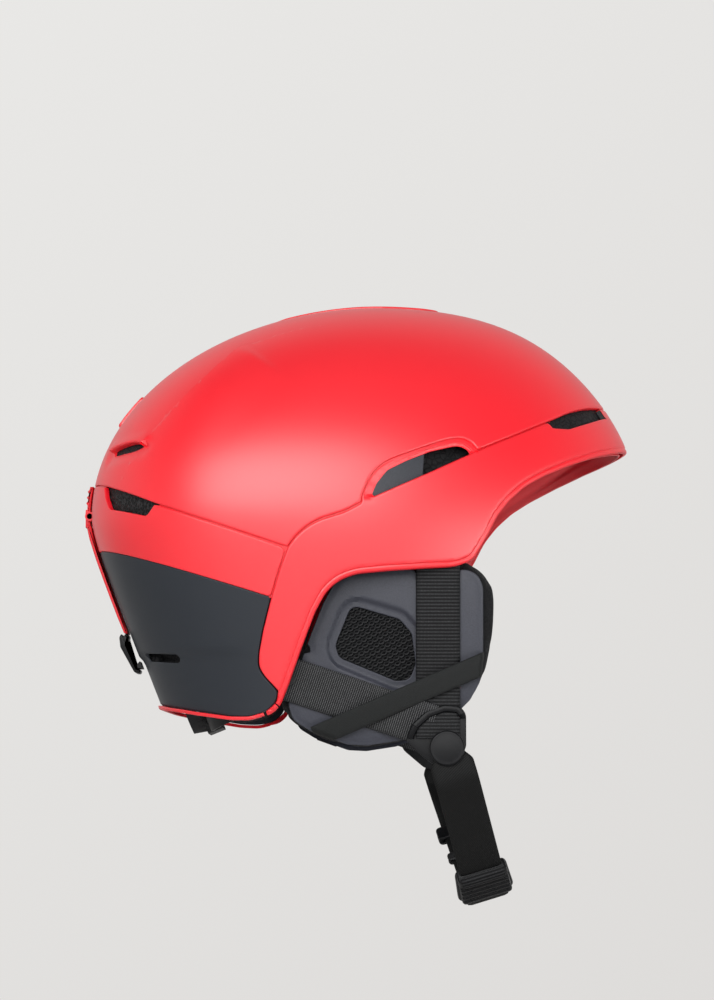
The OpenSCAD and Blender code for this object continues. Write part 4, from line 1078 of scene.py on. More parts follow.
def earMeshes():
    # a dark backing sheet with the knitted net over it, seen through the frame's window
    tree = linkTree()
    window = rounded(ear["window"], 5)
    a, b = np.array(knit["rowStep"]), np.array(knit["nextRow"])
    spots = np.array([[24, -58] + i * a + j * b for i in range(-14, 15) for j in range(-16, 17)])
    spots = spots[outlineDistance(window, spots)[0] > -knit["margin"]]
    backing = earSheet(wider(flat(window), 1.5), ((2, 50), (-78, -33)), 0.6, lambda x, z, value: 0 * x, 0.2,
                       step=4.0, out=-knit["backingDeep"])
    for side, s in sides.items():
        z = spots[:, 1]
        points = np.stack([spots[:, 0], s * (earFace(z) - knit["sunk"]), z], 1)
        facing = np.stack([0 * z, 0 * z + s, -earSlope(z)], 1)
        net = fromTree(side + "EarMesh", tree, points,
                       {"Hole Length": knit["holeLength"], "Hole Width": knit["holeWidth"],
                        "Yarn Radius": knit["yarn"], "Row Angle": knit["rowAngle"] * -s,
                        "Material": finishes["meshYarn"]}, facing)
        pieceFrom(net, side + "EarNet", "helmet", "mesh_fabric", [side + "_ear_mesh"], 60)
    bothSides("EarNetBacking", None, backing, "brushedFabric", "mesh_fabric", smooth=0)


def ringFaces(rings, count, flipped=False):
    # quads from ring to ring of points, and a cap at each end
    faces = []
    for low in range(0, (rings - 1) * count, count):
        for k in range(count):
            after = (k + 1) % count
            quad = (low + k, low + after, low + count + after, low + count + k)
            faces.append((quad[0], *quad[:0:-1]) if flipped else quad)
    first, last = tuple(range(count)), tuple(range((rings - 1) * count, rings * count))
    return faces + ([first, last[::-1]] if flipped else [first[::-1], last])


def plateRings(outline, profile, place):
    # a plate swept from an outline: each step of the profile is how far in and how high
    outline = np.asarray(outline, float)
    area = (outline[:, 0] * np.roll(outline[:, 1], -1) - outline[:, 1] * np.roll(outline[:, 0], -1)).sum()
    if area < 0:
        outline = outline[::-1]
    ahead = np.roll(outline, -1, axis=0) - outline
    ahead /= np.maximum(np.linalg.norm(ahead, axis=1, keepdims=True), 1e-9)
    inward = np.stack([-ahead[:, 1], ahead[:, 0]], 1)
    inward = inward + np.roll(inward, 1, axis=0)
    inward /= np.maximum(np.linalg.norm(inward, axis=1, keepdims=True), 1e-9)
    points = [place(u, v, height) for inset, height in profile for u, v in outline + inward * inset]
    return np.array(points), ringFaces(len(profile), len(outline))


def edgeProfile(thick, radius, base=0.0, foot=0.3):
    # profile of a plate with a rounded outer edge and a small chamfer below
    arc = [(radius * (1 - math.cos(t)), base + thick - radius * (1 - math.sin(t)))
           for t in np.linspace(0, math.pi / 2, 5)]
    return [(foot, base), (0, base + foot)] + arc


def onRight(u, v, h, y=0.0):
    return (u, -(y + h), v)


def cleaned(points, faces):
    # outward faces for a swept or turned shape
    mesh = bmesh.new()
    verts = [mesh.verts.new(p) for p in points]
    for f in faces:
        if len(set(f)) > 2:
            mesh.faces.new([verts[i] for i in f])
    bmesh.ops.remove_doubles(mesh, verts=mesh.verts, dist=1e-4)
    bmesh.ops.recalc_face_normals(mesh, faces=mesh.faces)
    mesh.verts.index_update()
    out = (np.array([list(v.co) for v in mesh.verts]), [tuple(v.index for v in f.verts) for f in mesh.faces])
    mesh.free()
    return out


def roundRings(profile, place, steps):
    return [place(r * math.cos(fullTurn * k / steps), r * math.sin(fullTurn * k / steps), h)
            for r, h in profile for k in range(steps)]


def turned(profile, place, steps=56):
    # a round piece from its (radius, height) profile
    return cleaned(roundRings(profile, place, steps), ringFaces(len(profile), steps))


cushion = dict(voxel=0.004, pressure=4.0, frames=20, cap=0.0022, shrink=-0.4, under=1.9, pipingIn=3.6)


def puffed(points, faces, name):
    # voxel remesh, then cloth under pressure, each point moved no further than the cap
    mesh = bpy.data.meshes.new(name)
    mesh.from_pydata((points * mm).tolist(), [], faces)
    obj = bpy.data.objects.new(name, mesh)
    bpy.context.scene.collection.objects.link(obj)
    remesh = obj.modifiers.new("remesh", "REMESH")
    remesh.mode, remesh.voxel_size = "VOXEL", cushion["voxel"]
    graph = bpy.context.evaluated_depsgraph_get()
    fresh = bpy.data.meshes.new_from_object(obj.evaluated_get(graph))
    obj.modifiers.clear()
    obj.data = fresh
    start = np.array([v.co[:] for v in fresh.vertices])
    moved = start
    cloth = obj.modifiers.new("cloth", "CLOTH")
    cloth.settings.use_pressure = True
    cloth.settings.uniform_pressure_force = cushion["pressure"]
    cloth.settings.effector_weights.gravity = 0
    cloth.settings.quality = 4
    for number in range(1, cushion["frames"] + 1):
        bpy.context.scene.frame_set(number)
    graph = bpy.context.evaluated_depsgraph_get()
    swollen = obj.evaluated_get(graph).to_mesh()
    moved = np.array([v.co[:] for v in swollen.vertices])
    bpy.context.scene.frame_set(1)
    step = moved - start
    far = np.linalg.norm(step, axis=1, keepdims=True)
    moved = start + step * np.minimum(1, cushion["cap"] / np.maximum(far, 1e-9))
    obj.modifiers.clear()
    fresh.vertices.foreach_set("co", moved.ravel())
    fresh.update()
    smooth = obj.modifiers.new("smooth", "SUBSURF")
    smooth.levels = smooth.render_levels = 1
    graph = bpy.context.evaluated_depsgraph_get()
    final = bpy.data.meshes.new_from_object(obj.evaluated_get(graph))
    bpy.data.objects.remove(obj)
    out = np.array([v.co[:] for v in final.vertices]) / mm, [tuple(p.vertices) for p in final.polygons]
    bpy.data.meshes.remove(final)
    return out


def earCushions():
    outline = rounded([[x, -15 + (z + 15) * 0.965] for x, z in ear["outline"]], 14)
    shrink, deep = cushion["shrink"], ear["cushionThick"]
    profile = [(shrink + 3.5, 1.0), (shrink + 0.8, 2.6), (shrink, 5.5), (shrink, 10), (shrink + 1.5, 13),
               (shrink + 4, 14.2)]
    points, faces = cleaned(*plateRings(outline, profile,
                                        lambda x, z, h: (x, -(earFace(z) - deep - 2.0 + h), z)))
    points, faces = puffed(points, faces, "cushionForm")
    # the frame presses the outer side flat, and the piping groove runs round its border
    x, y, z = points.T
    inside = outlineDistance(rounded(ear["frame"], 7), np.stack([x, z], 1))[0]
    window = outlineDistance(rounded(ear["window"], 7), np.stack([x, z], 1))[0]
    level = earFace(z) - cushion["under"] - 3.4 * smoothStep(-8, -2, window) - 0.1
    pressed = smoothStep(-1.5, 1.5, inside)
    proud = np.abs(y) - level
    outer = smoothStep(-4, 0, proud + 3.5)
    y = np.where((pressed > 0) & (proud > 0), -(level + proud * (1 - pressed)), y)
    groove = 0.9 * np.exp(-((inside + cushion["pipingIn"]) / 0.9) ** 2) * outer
    y = y + groove
    shape = (np.stack([x, y, z], 1), faces)
    for piece in bothSides("EarCushion", "ear_cushion", shape, "brushedFabric", "black_fabric", smooth=0):
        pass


webbing = dict(width=22.0, thick=1.6, out=1.1, dividerY=ear["face"] - ear["tuck"] * 66 ** 2 + 0.6)


def curveThrough(points, step):
    # an even run of points on a smooth curve through the given ones, and their distance along it
    p = np.asarray(points, float)
    padded = np.concatenate([[2 * p[0] - p[1]], p, [2 * p[-1] - p[-2]]])
    fine = []
    for a, b, c, d in zip(padded[:-3], padded[1:-2], padded[2:-1], padded[3:]):
        for t in np.linspace(0, 1, 24, endpoint=False):
            fine.append(0.5 * (2 * b + (c - a) * t + (2 * a - 5 * b + 4 * c - d) * t * t
                               + (3 * b - a - 3 * c + d) * t ** 3))
    fine = np.array(fine + [p[-1]])
    far = np.concatenate([[0], np.cumsum(np.linalg.norm(np.diff(fine, axis=0), axis=1))])
    count = max(3, int(round(far[-1] / step)) + 1)
    at = np.linspace(0, far[-1], count)
    return np.stack([np.interp(at, far, fine[:, k]) for k in range(3)], 1), at


def ribbon(path, across, width, thick, ribPitch=1.5, ribHigh=0.16, ribSteps=5, edge=0.35, widthAt=None,
           lean=0.0, cells=10):
    # flat webbing with its woven ribs; across is the width direction at each given point
    middle, at = curveThrough(path, ribPitch / ribSteps)
    given = np.asarray(across, float)
    if given.ndim == 1:
        given = np.repeat(given[None], len(path), axis=0)
    share = np.linspace(0, 1, len(given))
    side = np.stack([np.interp(at / at[-1], share, given[:, k]) for k in range(3)], 1)
    ahead = np.gradient(middle, axis=0)
    ahead /= np.linalg.norm(ahead, axis=1, keepdims=True)
    side = side - (side * ahead).sum(1, keepdims=True) * ahead
    side /= np.linalg.norm(side, axis=1, keepdims=True)
    normal = np.cross(ahead, side)
    u = np.linspace(-1, 1, cells + 1)
    # round edges: the section narrows in its last part
    top = [(v * (1 - edge / width * 2) if abs(v) == 1 else v, 0.5 if abs(v) < 1 else 0.22) for v in u]
    section = [(v, h) for v, h in top] + [(1.0, 0.0)] + [(v, -h) for v, h in reversed(top)] + [(-1.0, 0.0)]
    points, uv = [], []
    for i, s in enumerate(at):
        half = (widthAt(s) if widthAt else width) / 2
        for v, h in section:
            wave = 0.5 + 0.5 * math.cos(fullTurn * (s + v * half * lean) / ribPitch)
            rise = ribHigh * (wave ** 1.3 - 0.5) * (1 if abs(v) < 0.99 else 0.3)
            wide = half + 0.25 * ribHigh * (wave - 0.5)
            off = h * thick + math.copysign(rise, h) * (h != 0)
            points.append(middle[i] + side[i] * v * wide + normal[i] * off)
            uv.append((v * half * mm, s * mm))
    return np.array(points), ringFaces(len(at), len(section), flipped=True), uv


def outward(points, faces):
    # turns a closed shape's faces outwards, keeping the order of its points
    mesh = bmesh.new()
    verts = [mesh.verts.new(p) for p in points]
    for f in faces:
        mesh.faces.new([verts[i] for i in f])
    bmesh.ops.recalc_face_normals(mesh, faces=mesh.faces)
    mesh.verts.index_update()
    out = [tuple(v.index for v in f.verts) for f in mesh.faces]
    mesh.free()
    return points, out


def sideWebbing(name, node, path, across, material, slot="webbing", tucked=None, **options):
    points, faces, uv = ribbon(path, across, options.pop("width", webbing["width"]),
                               options.pop("thick", webbing["thick"]), **options)
    if tucked is not None:
        # both ends wrap round the frame's edge into its seam
        past, away = outlineDistance(tucked, points[:, [0, 2]])
        back = np.minimum(past + 0.5, 0)
        points = points + np.stack([away[:, 0] * back, 5.5 * (1 - smoothStep(-1.4, 1.2, past)),
                                    away[:, 1] * back], 1)
    bothSides(name, node, outward(points, faces), material, slot, smooth=0, uv=uv)


def earStraps():
    dy = webbing["dividerY"]
    front = [onEar(57, z, webbing["out"]) for z in (-8, -20, -32, -46, -60, -72)]
    front += [np.array([57, -(dy + 2.5), z]) for z in (-80, -92, -103)]
    sideWebbing("FrontStrap", "front_strap", front, (1, 0, 0), "ribbedWebbing", ribPitch=1.7, ribHigh=0.5)

    def fall(x):
        return -75 - 0.33 * (x + 13)
    rear = [onEar(x, fall(x), webbing["out"]) for x in (-20, -13, -4, 6, 16, 25)]
    rear += [np.array([x, -(dy + out), fall(x)]) for x, out in ((35, 1.5), (41, 1.9), (48, 2.0), (54, 2.0))]
    across = [(0.33, -earSlope(p[2]), 1) for p in rear]
    sideWebbing("RearStrap", "rear_strap", rear, across, "steepWebbing", ribPitch=1.04, ribHigh=0.42)
    band = [onEar(x, -100.5 + 0.43 * x, 3.3 + out) for x, out in
            ((-4, -0.8), (12, 0.8), (27, 1.9), (42, 2.2), (57, 1.9), (70, 1), (82, 0))]
    across = [(-0.43, -earSlope(p[2]), 1) for p in band]
    sideWebbing("ElasticBand", "elastic_band", band, across, "elasticTwill", slot="elastic", width=11.0,
                tucked=rounded(ear["frame"], 7),
                thick=1.2, ribPitch=0.8, ribHigh=0.05, ribSteps=3, cells=6)


divider = dict(at=(61.4, -108.0), outline=[[40, -104], [44.5, -95.5], [51, -89.5], [60, -86.3], [68, -87],
                                          [71, -91], [71, -107], [68, -114], [61, -118], [53, -115]],
               plate=1.4, rimHigh=5.2, rimWide=3.8, rimEnd=-103.2, buttonRadius=8.75, buttonFrom=5.5)


def makeDividers():
    dy, outline = webbing["dividerY"], rounded(divider["outline"], 6)

    def place(u, v, h):
        return onRight(u, v, h, dy)
    plate = cleaned(*plateRings(outline, edgeProfile(divider["plate"], 0.4), place))
    # raised rim over the top and down both sides, open where the chin strap swings
    high = outline[:, 1] > divider["rimEnd"]
    first = next(i for i in range(len(outline)) if high[i] and not high[i - 1])
    ring, high = np.roll(outline, -first, axis=0), np.roll(high, -first)
    path = ring[high]
    shape = joined(plate, rimBar(path, place))
    bothSides("Divider", "divider", shape, "satinBlack", "black_plastic", smooth=38)

    top, r = divider["buttonFrom"], divider["buttonRadius"]
    u0, v0 = divider["at"]
    profile = [(2.3, -1.0), (2.3, top), (r - 0.9, top), (r - 0.25, top + 0.3), (r, top + 0.8), (r, top + 1.3),
               (r - 0.25, top + 1.75), (r - 0.8, top + 1.95), (r - 1.1, top + 1.92)]
    profile += [(q, top + 1.92 + 0.5 * (1 - (q / (r - 1.1)) ** 2)) for q in (6.4, 5, 3.6, 2.2, 0.9, 0.0)]
    bothSides("DividerButton", "divider_button",
              turned(profile, lambda u, v, h: place(u0 + u, v0 + v, h)), "satinBlack", "black_plastic",
              smooth=50)


def rimBar(path, place):
    # a rounded bar along an open path on the plate, leaning a little inwards
    p = np.asarray(path, float)
    ahead = np.gradient(p, axis=0)
    ahead /= np.linalg.norm(ahead, axis=1, keepdims=True)
    middle = p.mean(axis=0)
    inward = np.stack([-ahead[:, 1], ahead[:, 0]], 1)
    inward *= np.sign(((middle - p) * inward).sum(1, keepdims=True))
    h = divider["rimHigh"]
    # clear of the strap's round end
    widths = np.clip(np.linalg.norm(p - divider["at"], axis=1) - 8.6, 2.0, divider["rimWide"])
    section = [(0.03, 0.3), (0.0, h * 0.45), (0.04, h * 0.78), (0.16, h * 0.96), (0.32, h), (0.6, h),
               (0.82, h * 0.95), (0.96, h * 0.8), (1.0, h * 0.5), (1.0, 0.5)]
    points = []
    for i, (q, n) in enumerate(zip(p, inward)):
        end = min(i, len(p) - 1 - i)
        low = 0.55 + 0.45 * min(1, end / 4)
        points += [place(*(q + n * a * widths[i]), b * low if b > 1 else b) for a, b in section]
    return cleaned(points, ringFaces(len(p), len(section), flipped=True))


lean = math.radians(17)
leanDir = np.array([math.cos(lean), 0, math.sin(lean)])
chin = dict(strapY=webbing["dividerY"] + 3.6 + 0.8, tilt=math.radians(28), end=np.array([-9.0, 76.0]),
            length=27.0, width=27.0, thick=7.5, head=8.0, plate=3.0, gap=0.3, lip=3.2)
chin["dir"] = np.array([math.cos(chin["tilt"]), math.sin(chin["tilt"])])
chin["top"] = chin["end"] - chin["length"] * chin["dir"]
chin["tongueLong"] = chin["length"] - chin["head"] - chin["gap"] + 1.6
chin["tongueLow"] = chin["plate"] - chin["thick"] / 2 + chin["gap"]
chin["tongueThick"] = chin["thick"] / 2 - chin["tongueLow"]


def loop(q):
    # a place on the chin loop's plane: across to the left, and down from the rivets
    x, z = divider["at"]
    return np.array([x + q[1] * math.sin(lean), q[0], z - q[1] * math.cos(lean)])


def buckleFrame(direction, origin):
    along = np.array([direction[1] * math.sin(lean), direction[0], -direction[1] * math.cos(lean)])
    out = np.array([direction[0] * math.sin(lean), -direction[1], -direction[0] * math.cos(lean)])
    return lambda u, v, h: origin + leanDir * u + along * v + out * h


def strapWidth(start):
    # round over the rivet, then shoulders out to the full width
    def width(s):
        q = s - start
        if q < 1.5:
            return 2 * math.sqrt(max(0.3, 64 - q * q)) - 1.0
        return 14.5 + (webbing["width"] - 14.5) * float(smoothStep(1.5, 9.0, q))
    return width


def chinStraps():
    y = chin["strapY"]
    top, turn = chin["top"], chin["dir"]
    right = [[-y, -7.9], [-y, 0], [-y, 8], [-y, 12.2], [-y + 0.8, 16], [-y + 3.4, 20], [-y + 9, 25],
             (top + [-y + 9, 25]) / 2, top + [-0.3, -0.15]]
    points, faces, uv = ribbon([loop(q) for q in right], leanDir, webbing["width"], webbing["thick"],
                               ribPitch=1.3, ribHigh=0.07, ribSteps=3, widthAt=strapWidth(7.9))
    makePiece("rightChinStrap", *outward(points, faces), finishes["twillWebbing"], "chin_right", "webbing",
              ["chin_strap_right"], 0, uv)
    side = np.array([-turn[1], turn[0]])
    endPoint = (top + (chin["head"] + chin["gap"] + chin["tongueLong"] + 0.2) * turn
                + (chin["tongueLow"] + chin["tongueThick"] / 2) * side)
    start, finish = np.array([y - 9, 25]), endPoint + [20, -4.5]
    left = [[y, -7.9], [y, 0], [y, 8], [y, 13.2], [y - 0.8, 16], [y - 3.4, 20], start,
            (2 * start + finish) / 3, (start + 2 * finish) / 3, finish, endPoint + [12, -0.4],
            endPoint + [5, 1.2], endPoint + [0.3, 0.2]]
    points, faces, uv = ribbon([loop(q) for q in left], leanDir, webbing["width"], webbing["thick"],
                               ribPitch=1.3, ribHigh=0.07, ribSteps=3, widthAt=strapWidth(7.9))
    strap = makePiece("leftChinStrap", *outward(points, faces), finishes["twillWebbing"], None, "webbing",
                      ["chin_strap_left", "chin_tab_left"], 0, uv)
    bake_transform(strap)
    arm = finish - start
    return start, finish, arm / np.linalg.norm(arm)


def taperedPlan(width, length, radius, start=0.0, narrow=1.5):
    return rounded([[-width / 2 + narrow, start], [width / 2 - narrow, start], [width / 2, start + length],
                    [-width / 2, start + length]], radius)


def makeBuckle():
    place = buckleFrame(chin["dir"], loop(chin["top"]))
    half = chin["thick"] / 2
    full = chin["head"] + chin["tongueLong"] + chin["lip"]
    plate = cleaned(*plateRings(taperedPlan(chin["width"] + 3, full, 5),
                                [(0.9, -half), (0.25, -half + 0.3), (0, -half + 1.0), (0, -0.9 - 0.75 + 0.2),
                                 (0.35, -0.85), (0.8, -0.75)], place))
    # bar that the webbing folds over, with its gathered folds
    bar = cleaned(*plateRings(taperedPlan(chin["width"] - 0.5, chin["head"], 1.6, narrow=0.4),
                              [(0.5, -half + 0.5), (0, -half + 1), (0, 2.2), (0.5, 3.2), (1.4, half)], place))
    makePiece("buckleReceiver", *joined(plate, bar), finishes["satinBlack"], "chin_right", "black_plastic",
              ["buckle_receiver"], 40)
    fold = [[-0.5, 1.9], [1.2, 3.6], [3.6, 4.55], [6.0, 4.5], [7.3, 3.6]]
    path = [place(0, v, h) for v, h in fold]
    points, faces, uv = ribbon(path, leanDir, webbing["width"] + 1.2, 1.3, ribPitch=0.9, ribHigh=0.12,
                               ribSteps=4)
    makePiece("strapFold", *outward(points, faces), finishes["ribbedWebbing"], "chin_right", "webbing", [],
              0, uv)

    # the tongue: a block with moulded grip ribs across it
    low, top = chin["tongueLow"], half
    start = chin["head"] + chin["gap"]
    body = cleaned(*plateRings(taperedPlan(chin["width"], chin["tongueLong"], 3.4, start, 0.5),
                               [(0.5, low), (0, low + 0.5), (0, top - 1.6), (0.35, top - 0.9),
                                (1.0, top - 0.7)], place))
    ribs = []
    for i in range(4):
        v = start + 2.2 + i * 4.3
        run = 3.0
        plan = rounded([[-chin["width"] / 2 + 0.7, v], [chin["width"] / 2 - 0.7, v],
                        [chin["width"] / 2 - 0.6, v + run], [-chin["width"] / 2 + 0.6, v + run]], 1.2)
        ribs.append(cleaned(*plateRings(plan, [(0, top - 1.2), (0.1, top - 0.55), (0.45, top - 0.15),
                                               (0.9, top)], place)))
    makePiece("buckleTongue", *joined(body, *ribs), finishes["satinBlack"], "chin_left", "black_plastic",
              ["buckle_tongue"], 40)


def makeLoops(start, finish, direction):
    # ladder adjuster and keeper on the left strap
    for name, node, share, long, high, material, slot in (
            ("strapAdjuster", "strap_adjuster", 0.36, 10.0, 5.2, "satinBlack", "black_plastic"),
            ("strapKeeper", "strap_keeper", 0.62, 6.0, 4.4, "blackRubber", "black_rubber")):
        place = buckleFrame(direction, loop(start + share * (finish - start)))
        width = webbing["width"] + (7 if name == "strapAdjuster" else 4)
        slotHalf = (webbing["thick"] + 0.6) / 2
        plan = rounded([[-width / 2, -long / 2], [width / 2, -long / 2], [width / 2, long / 2],
                        [-width / 2, long / 2]], min(3, long / 2 - 0.5))
        upper = cleaned(*plateRings(plan, edgeProfile(high / 2 - slotHalf, 0.8, slotHalf, 0.15), place))
        lower = cleaned(*plateRings(plan, [(i, -h) for i, h in edgeProfile(high / 2 - slotHalf, 0.8, slotHalf,
                                                                           0.15)], place))
        cheeks = []
        for s in (-1, 1):
            u0, u1 = sorted((s * (webbing["width"] / 2 + 0.5), s * (width / 2 - 0.2)))
            cheek = rounded([[u0, -long / 2 + 1], [u1, -long / 2 + 1.6], [u1, long / 2 - 1.6],
                             [u0, long / 2 - 1]], 0.8)
            cheeks.append(cleaned(*plateRings(cheek, [(0, -slotHalf - 0.1), (0, slotHalf + 0.1)], place)))
        makePiece(name, *joined(upper, lower, *cheeks), finishes[material], "chin_left", slot, [node], 40)


def makeKnob():
    # rounded tab that rides on the crown's rear, on its stem
    cx, cz = vent["center"]
    angle0 = math.radians(vent["angle"])

    def place(u, v, h):
        a = angle0 + u / vent["radius"]
        r = vent["radius"] + h - v * v / 2 / 92
        return (cx + r * math.cos(a), v, cz + r * math.sin(a))
    half, side = vent["knobHalf"], vent["knobWidth"] / 2
    corners = np.asarray(rounded([[-half, -side], [half, -side], [half, side], [-half, side]], 2.4, steps=8))
    plan = np.array([a * (1 - t) + b * t for a, b in zip(corners, np.roll(corners, -1, axis=0))
                     for t in np.linspace(0, 1, 4, endpoint=False)])
    rings = [(0.2, 0.3), (0, 0.6), (0, 1.3), (0.25, 1.8), (0.8, 2.1), (1.8, 2.18), (3.4, 2.15)]
    knob = cleaned(*plateRings(plan, rings, place))
    stem = turned([(2.5, -3.8), (2.5, 0.5)], place, 24)
    makePiece("ventKnob", *joined(knob, stem), finishes["redShell"], "vent_slider", "red_shell",
              ["vent_knob"])


def makeLinings():
    # temple inserts: a smooth plate behind the vent, with the dark passage at its front
    field = both(sideView(rounded(lining["temple"], 3), inset=2.7),
                 outside(sideView(rounded(lining["passage"], 1.5), inset=2.7)))
    points, faces = skinShell(field, -12, 45, outer=2.75, wall=2.6, fillet=0.4, rowStep=1.2, columns=520)
    makePiece("templeInserts", points, faces, finishes["slateInsert"], "helmet", "slate_insert",
              ["temple_inserts"])
    field = sideView(rounded(lining["filter"], 3), inset=2.7)
    points, faces = skinShell(field, -20, 30, outer=2.9, wall=2.8, fillet=0.5, rowStep=1.4, columns=460,
                              relief=lambda place, position, value: 0.35 * np.sin(position[:, 0] * 2.3)
                              * np.sin(position[:, 2] * 2.7))
    makePiece("exhaustFilters", points, faces, finishes["openFoam"], "helmet", "filter_foam",
              ["exhaust_filters"])


goggle = dict(width=22.0, thick=2.6, pinZ=14.0, anchorTop=29.5)


def backX(z):
    return float(skinPoint(np.array([[upAt(z), math.pi]]))[0, 0])


def sweptAcross(section, width, edge):
    # a side-view section (x, z) drawn across the helmet, its ends rounded over
    def place(x, z, h):
        return (x, h, z)
    half = width / 2
    profile = [(edge, -half), (edge * 0.3, -half + edge * 0.3), (0, -half + edge),
               (0, half - edge), (edge * 0.3, half - edge * 0.3), (edge, half)]
    return cleaned(*plateRings(section, profile, place))


def makeGoggleParts():
    t, w = goggle["thick"], goggle["width"]
    zs = [9.4, 2, -8, -18, -28, -38, -47]
    front = [[backX(z) - 0.4, z] for z in zs]
    back = [[backX(z) - 0.4 - t * (0.92 if z > -40 else 0.8), z] for z in zs]
    section = rounded(front + back[::-1], 6, sharp=[tuple(front[0]), tuple(back[0]), tuple(front[-1]),
                                                    tuple(back[-1])], sharpRadius=0.8)
    strap = sweptAcross(section, w, 0.9)
    pin = (backX(goggle["pinZ"]) - 0.8, goggle["pinZ"])
    link = sweptAcross(np.array([[pin[0] - 2.4, 8.6], [pin[0] + 0.2, 8.6], [pin[0] + 0.2, 12.2],
                                 [pin[0] - 2.4, 13.4]]), 13.6, 0.3)
    makePiece("goggleStrap", *joined(strap, link, sweptRing(pin)), finishes["redRubber"], "goggle_retainer",
              "red_rubber", ["goggle_strap"], 40)

    # hook at its end, and the catch on the shell
    top, low = backX(-48) - 0.35, backX(-64)
    hook = rounded([[top - t, -48.4], [top - t - 1.6, -47.0], [top - t - 2.6, -49], [top - t - 2.0, -54],
                    [low - 5.4, -64.5], [low - 3.7, -67.4], [low - 1.3, -67.6], [low - 0.8, -66.2],
                    [low - 1.2, -65.4], [low - 2.8, -65.4], [low - 3.3, -63.5], [top - 1.9, -52.5],
                    [top - 0.5, -49.6], [top - 0.3, -47.4], [top - t + 0.1, -47.4]], 2.0, sharpRadius=0.4)
    makePiece("goggleHook", *sweptAcross(hook, w - 4, 0.7), finishes["satinBlack"], "goggle_retainer",
              "black_plastic", ["goggle_hook"], 40)

    # anchor tab pegged to the band, three grip ribs on its back
    def bulge(z):
        rib = sum(math.exp(-((z - q) / 0.75) ** 2) for q in (20.9, 23.9, 26.9))
        return t * 0.72 + 0.75 * rib * (1 if z < 28.6 else 0.4)
    zs = np.linspace(16.6, goggle["anchorTop"], 40)
    front = [[backX(z) - 0.3, z] for z in zs]
    back = [[backX(z) - 0.3 - bulge(z), z] for z in zs]
    tab = sweptAcross(np.array(front + back[::-1]), w, 0.8)
    cheeks = []
    for s in (-1, 1):
        barrel = turned([(1.52, s * 7.3), (2.4, s * 7.3), (2.4, s * 11.0), (1.52, s * 11.0)],
                        lambda u, v, h: (pin[0] + u, h, pin[1] + v), 28)
        web = sweptAcross(np.array([[pin[0] - 2.3, 14], [pin[0] + 0.5, 14.6], [pin[0] + 0.4, 17.4],
                                    [pin[0] - 2.0, 17.4]]), 3.5, 0.2)
        cheeks += [barrel, (web[0] + [0, s * 9.15, 0], web[1])]
    makePiece("goggleAnchor", *joined(tab, *cheeks), finishes["redRubber"], "helmet", "red_rubber",
              ["goggle_anchor"], 40)


def sweptRing(pin):
    # knuckle round the pin, with its bore
    def place(u, v, h):
        return (pin[0] + u, h, pin[1] + v)
    steps, faces = 32, []
    points = roundRings([(1.56, -6.9), (2.4, -6.9), (2.4, 6.9), (1.56, 6.9)], place, steps)
    for i in range(4):
        a, b = i * steps, (i + 1) % 4 * steps
        faces += [(a + k, a + (k + 1) % steps, b + (k + 1) % steps, b + k) for k in range(steps)]
    return cleaned(points, faces)


# CAD pieces that show as they are get their finish
cadFinishes = dict(dial_housing="blackPlastic", fit_dial="blackRubber", dial_screws="plainSteel",
                   left_rack_arm="blackPlastic", right_rack_arm="blackPlastic", strap_rivets="satinBlack",
                   vent_shutter="blackPlastic", goggle_pin="plainSteel", goggle_catch="blackPlastic")


def dressCadPieces():
    for node, finish in cadFinishes.items():
        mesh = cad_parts[node].data
        mesh.materials.clear()
        mesh.materials.append(finishes[finish])


makeLiner()
makePads()
print("liner and pads made")
earCushions()
earFrames()
earMeshes()
print("ear pieces made")
earStraps()
makeDividers()
makeLoops(*chinStraps())
makeBuckle()
print("straps made")
makeKnob()
makeLinings()
makeGoggleParts()
dressCadPieces()
print("small parts made")


studio = dict(cameraAt=(0.0168, -1.6922, -0.1393), lookAt=(0.0168, 0, 0.0236), lens=116.6,
              keyPower=67.0, topPower=8.0, fillPower=11.0, worldStrength=0.75, floorZ=-0.42, floorReach=2.9)


def aimed(obj, target):
    obj.rotation_euler = (Vector(target) - obj.location).to_track_quat("-Z", "Y").to_euler()


def softbox(name, at, target, size, power, inGloss=True):
    light = bpy.data.lights.new(name, "AREA")
    light.shape, light.size, light.size_y, light.energy = "RECTANGLE", *size, power
    obj = bpy.data.objects.new(name, light)
    bpy.context.scene.collection.objects.link(obj)
    obj.location = at
    obj.visible_glossy = inGloss
    aimed(obj, target)


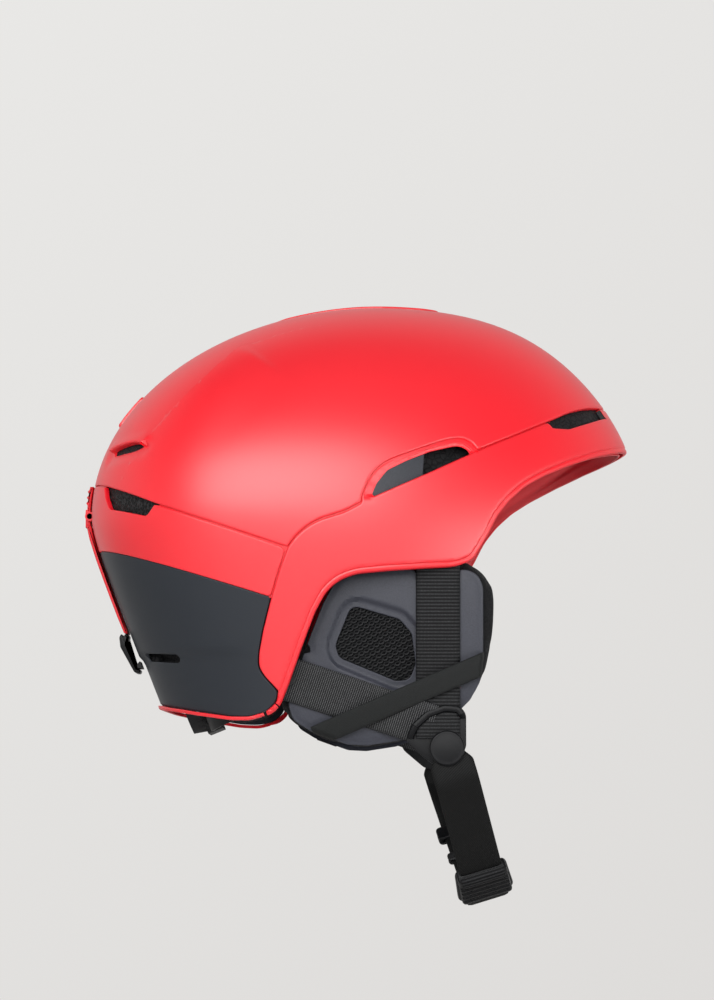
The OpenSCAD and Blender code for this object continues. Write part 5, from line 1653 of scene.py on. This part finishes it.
def setStage():
    scene = bpy.context.scene
    scene.view_settings.view_transform = "Standard"
    camera = bpy.data.objects.new("camera", bpy.data.cameras.new("camera"))
    scene.collection.objects.link(camera)
    camera.data.lens, camera.data.sensor_width = studio["lens"], 36
    camera.data.clip_end = 20
    camera.location = studio["cameraAt"]
    aimed(camera, studio["lookAt"])
    scene.camera = camera

    softbox("keySoftbox", (-0.4, -2.0, 0.57), (-0.01, 0, 0.02), (2.8, 1.35), studio["keyPower"])
    softbox("topSoftbox", (0.15, -0.5, 1.7), (0, 0, 0), (2.0, 2.0), studio["topPower"], inGloss=False)
    softbox("frontFill", (1.15, -0.9, -0.38), (0.1, 0, 0), (0.8, 0.5), studio["fillPower"])

    world = bpy.data.worlds.new("world")
    scene.world = world
    world.use_nodes = True
    sky = Builder(world.node_tree)
    cameraRay = sky.add("ShaderNodeLightPath")
    direction = sky.add("ShaderNodeTexCoord")
    # the backdrop is a little darker low down and to the right
    slope = sky.add("ShaderNodeVectorMath", {"operation": "DOT_PRODUCT"},
                    {0: direction, 1: (-0.5, 0, 0.75)}, "Value")
    height = sky.add("ShaderNodeMapRange", {}, {"Value": slope, "From Min": -0.16, "From Max": 0.28})
    backdrop = sky.add("ShaderNodeValToRGB",
                       {"stops": [(0, (0.715, 0.70, 0.685)), (1, (0.822, 0.815, 0.80))]}, {"Fac": height})
    # bright all round, dark overhead and behind the camera
    facing = sky.add("ShaderNodeVectorMath", {"operation": "DOT_PRODUCT"},
                     {0: direction, 1: (0, -0.85, 0.75)}, "Value")
    overhead = sky.add("ShaderNodeValToRGB",
                       {"stops": [(0.12, (0.95, 0.94, 0.93)), (0.62, (0.05, 0.05, 0.05))]}, {"Fac": facing})
    strength = sky.add("ShaderNodeMapRange", {},
                       {"Value": cameraRay, "To Min": studio["worldStrength"], "To Max": 1.0})
    background = world.node_tree.nodes["Background"]
    sky.give(background.inputs["Color"], sky.blend(cameraRay, overhead, backdrop))
    sky.give(background.inputs["Strength"], strength)


def makeFloor():
    mesh = bpy.data.meshes.new("floor")
    reach, z = studio["floorReach"], studio["floorZ"]
    mesh.from_pydata([(-reach, -reach, z), (reach, -reach, z), (reach, reach, z), (-reach, reach, z)], [],
                     [(0, 1, 2, 3)])
    floor = bpy.data.objects.new("floor", mesh)
    bpy.context.scene.collection.objects.link(floor)
    f = Finish("paleFloor", (0.62, 0.61, 0.60), 0.8)
    glow = f.add("ShaderNodeEmission", {}, {"Color": (0.76, 0.75, 0.735)})
    seen = f.add("ShaderNodeMixShader", {},
                 {0: f.add("ShaderNodeLightPath") * 0.6, 1: Wire(f, f.shader.outputs[0]), 2: glow})
    f.give(f.tree.nodes["Material Output"].inputs["Surface"], seen)
    mesh.materials.append(f.material)


setStage()
makeFloor()
print("stage set")
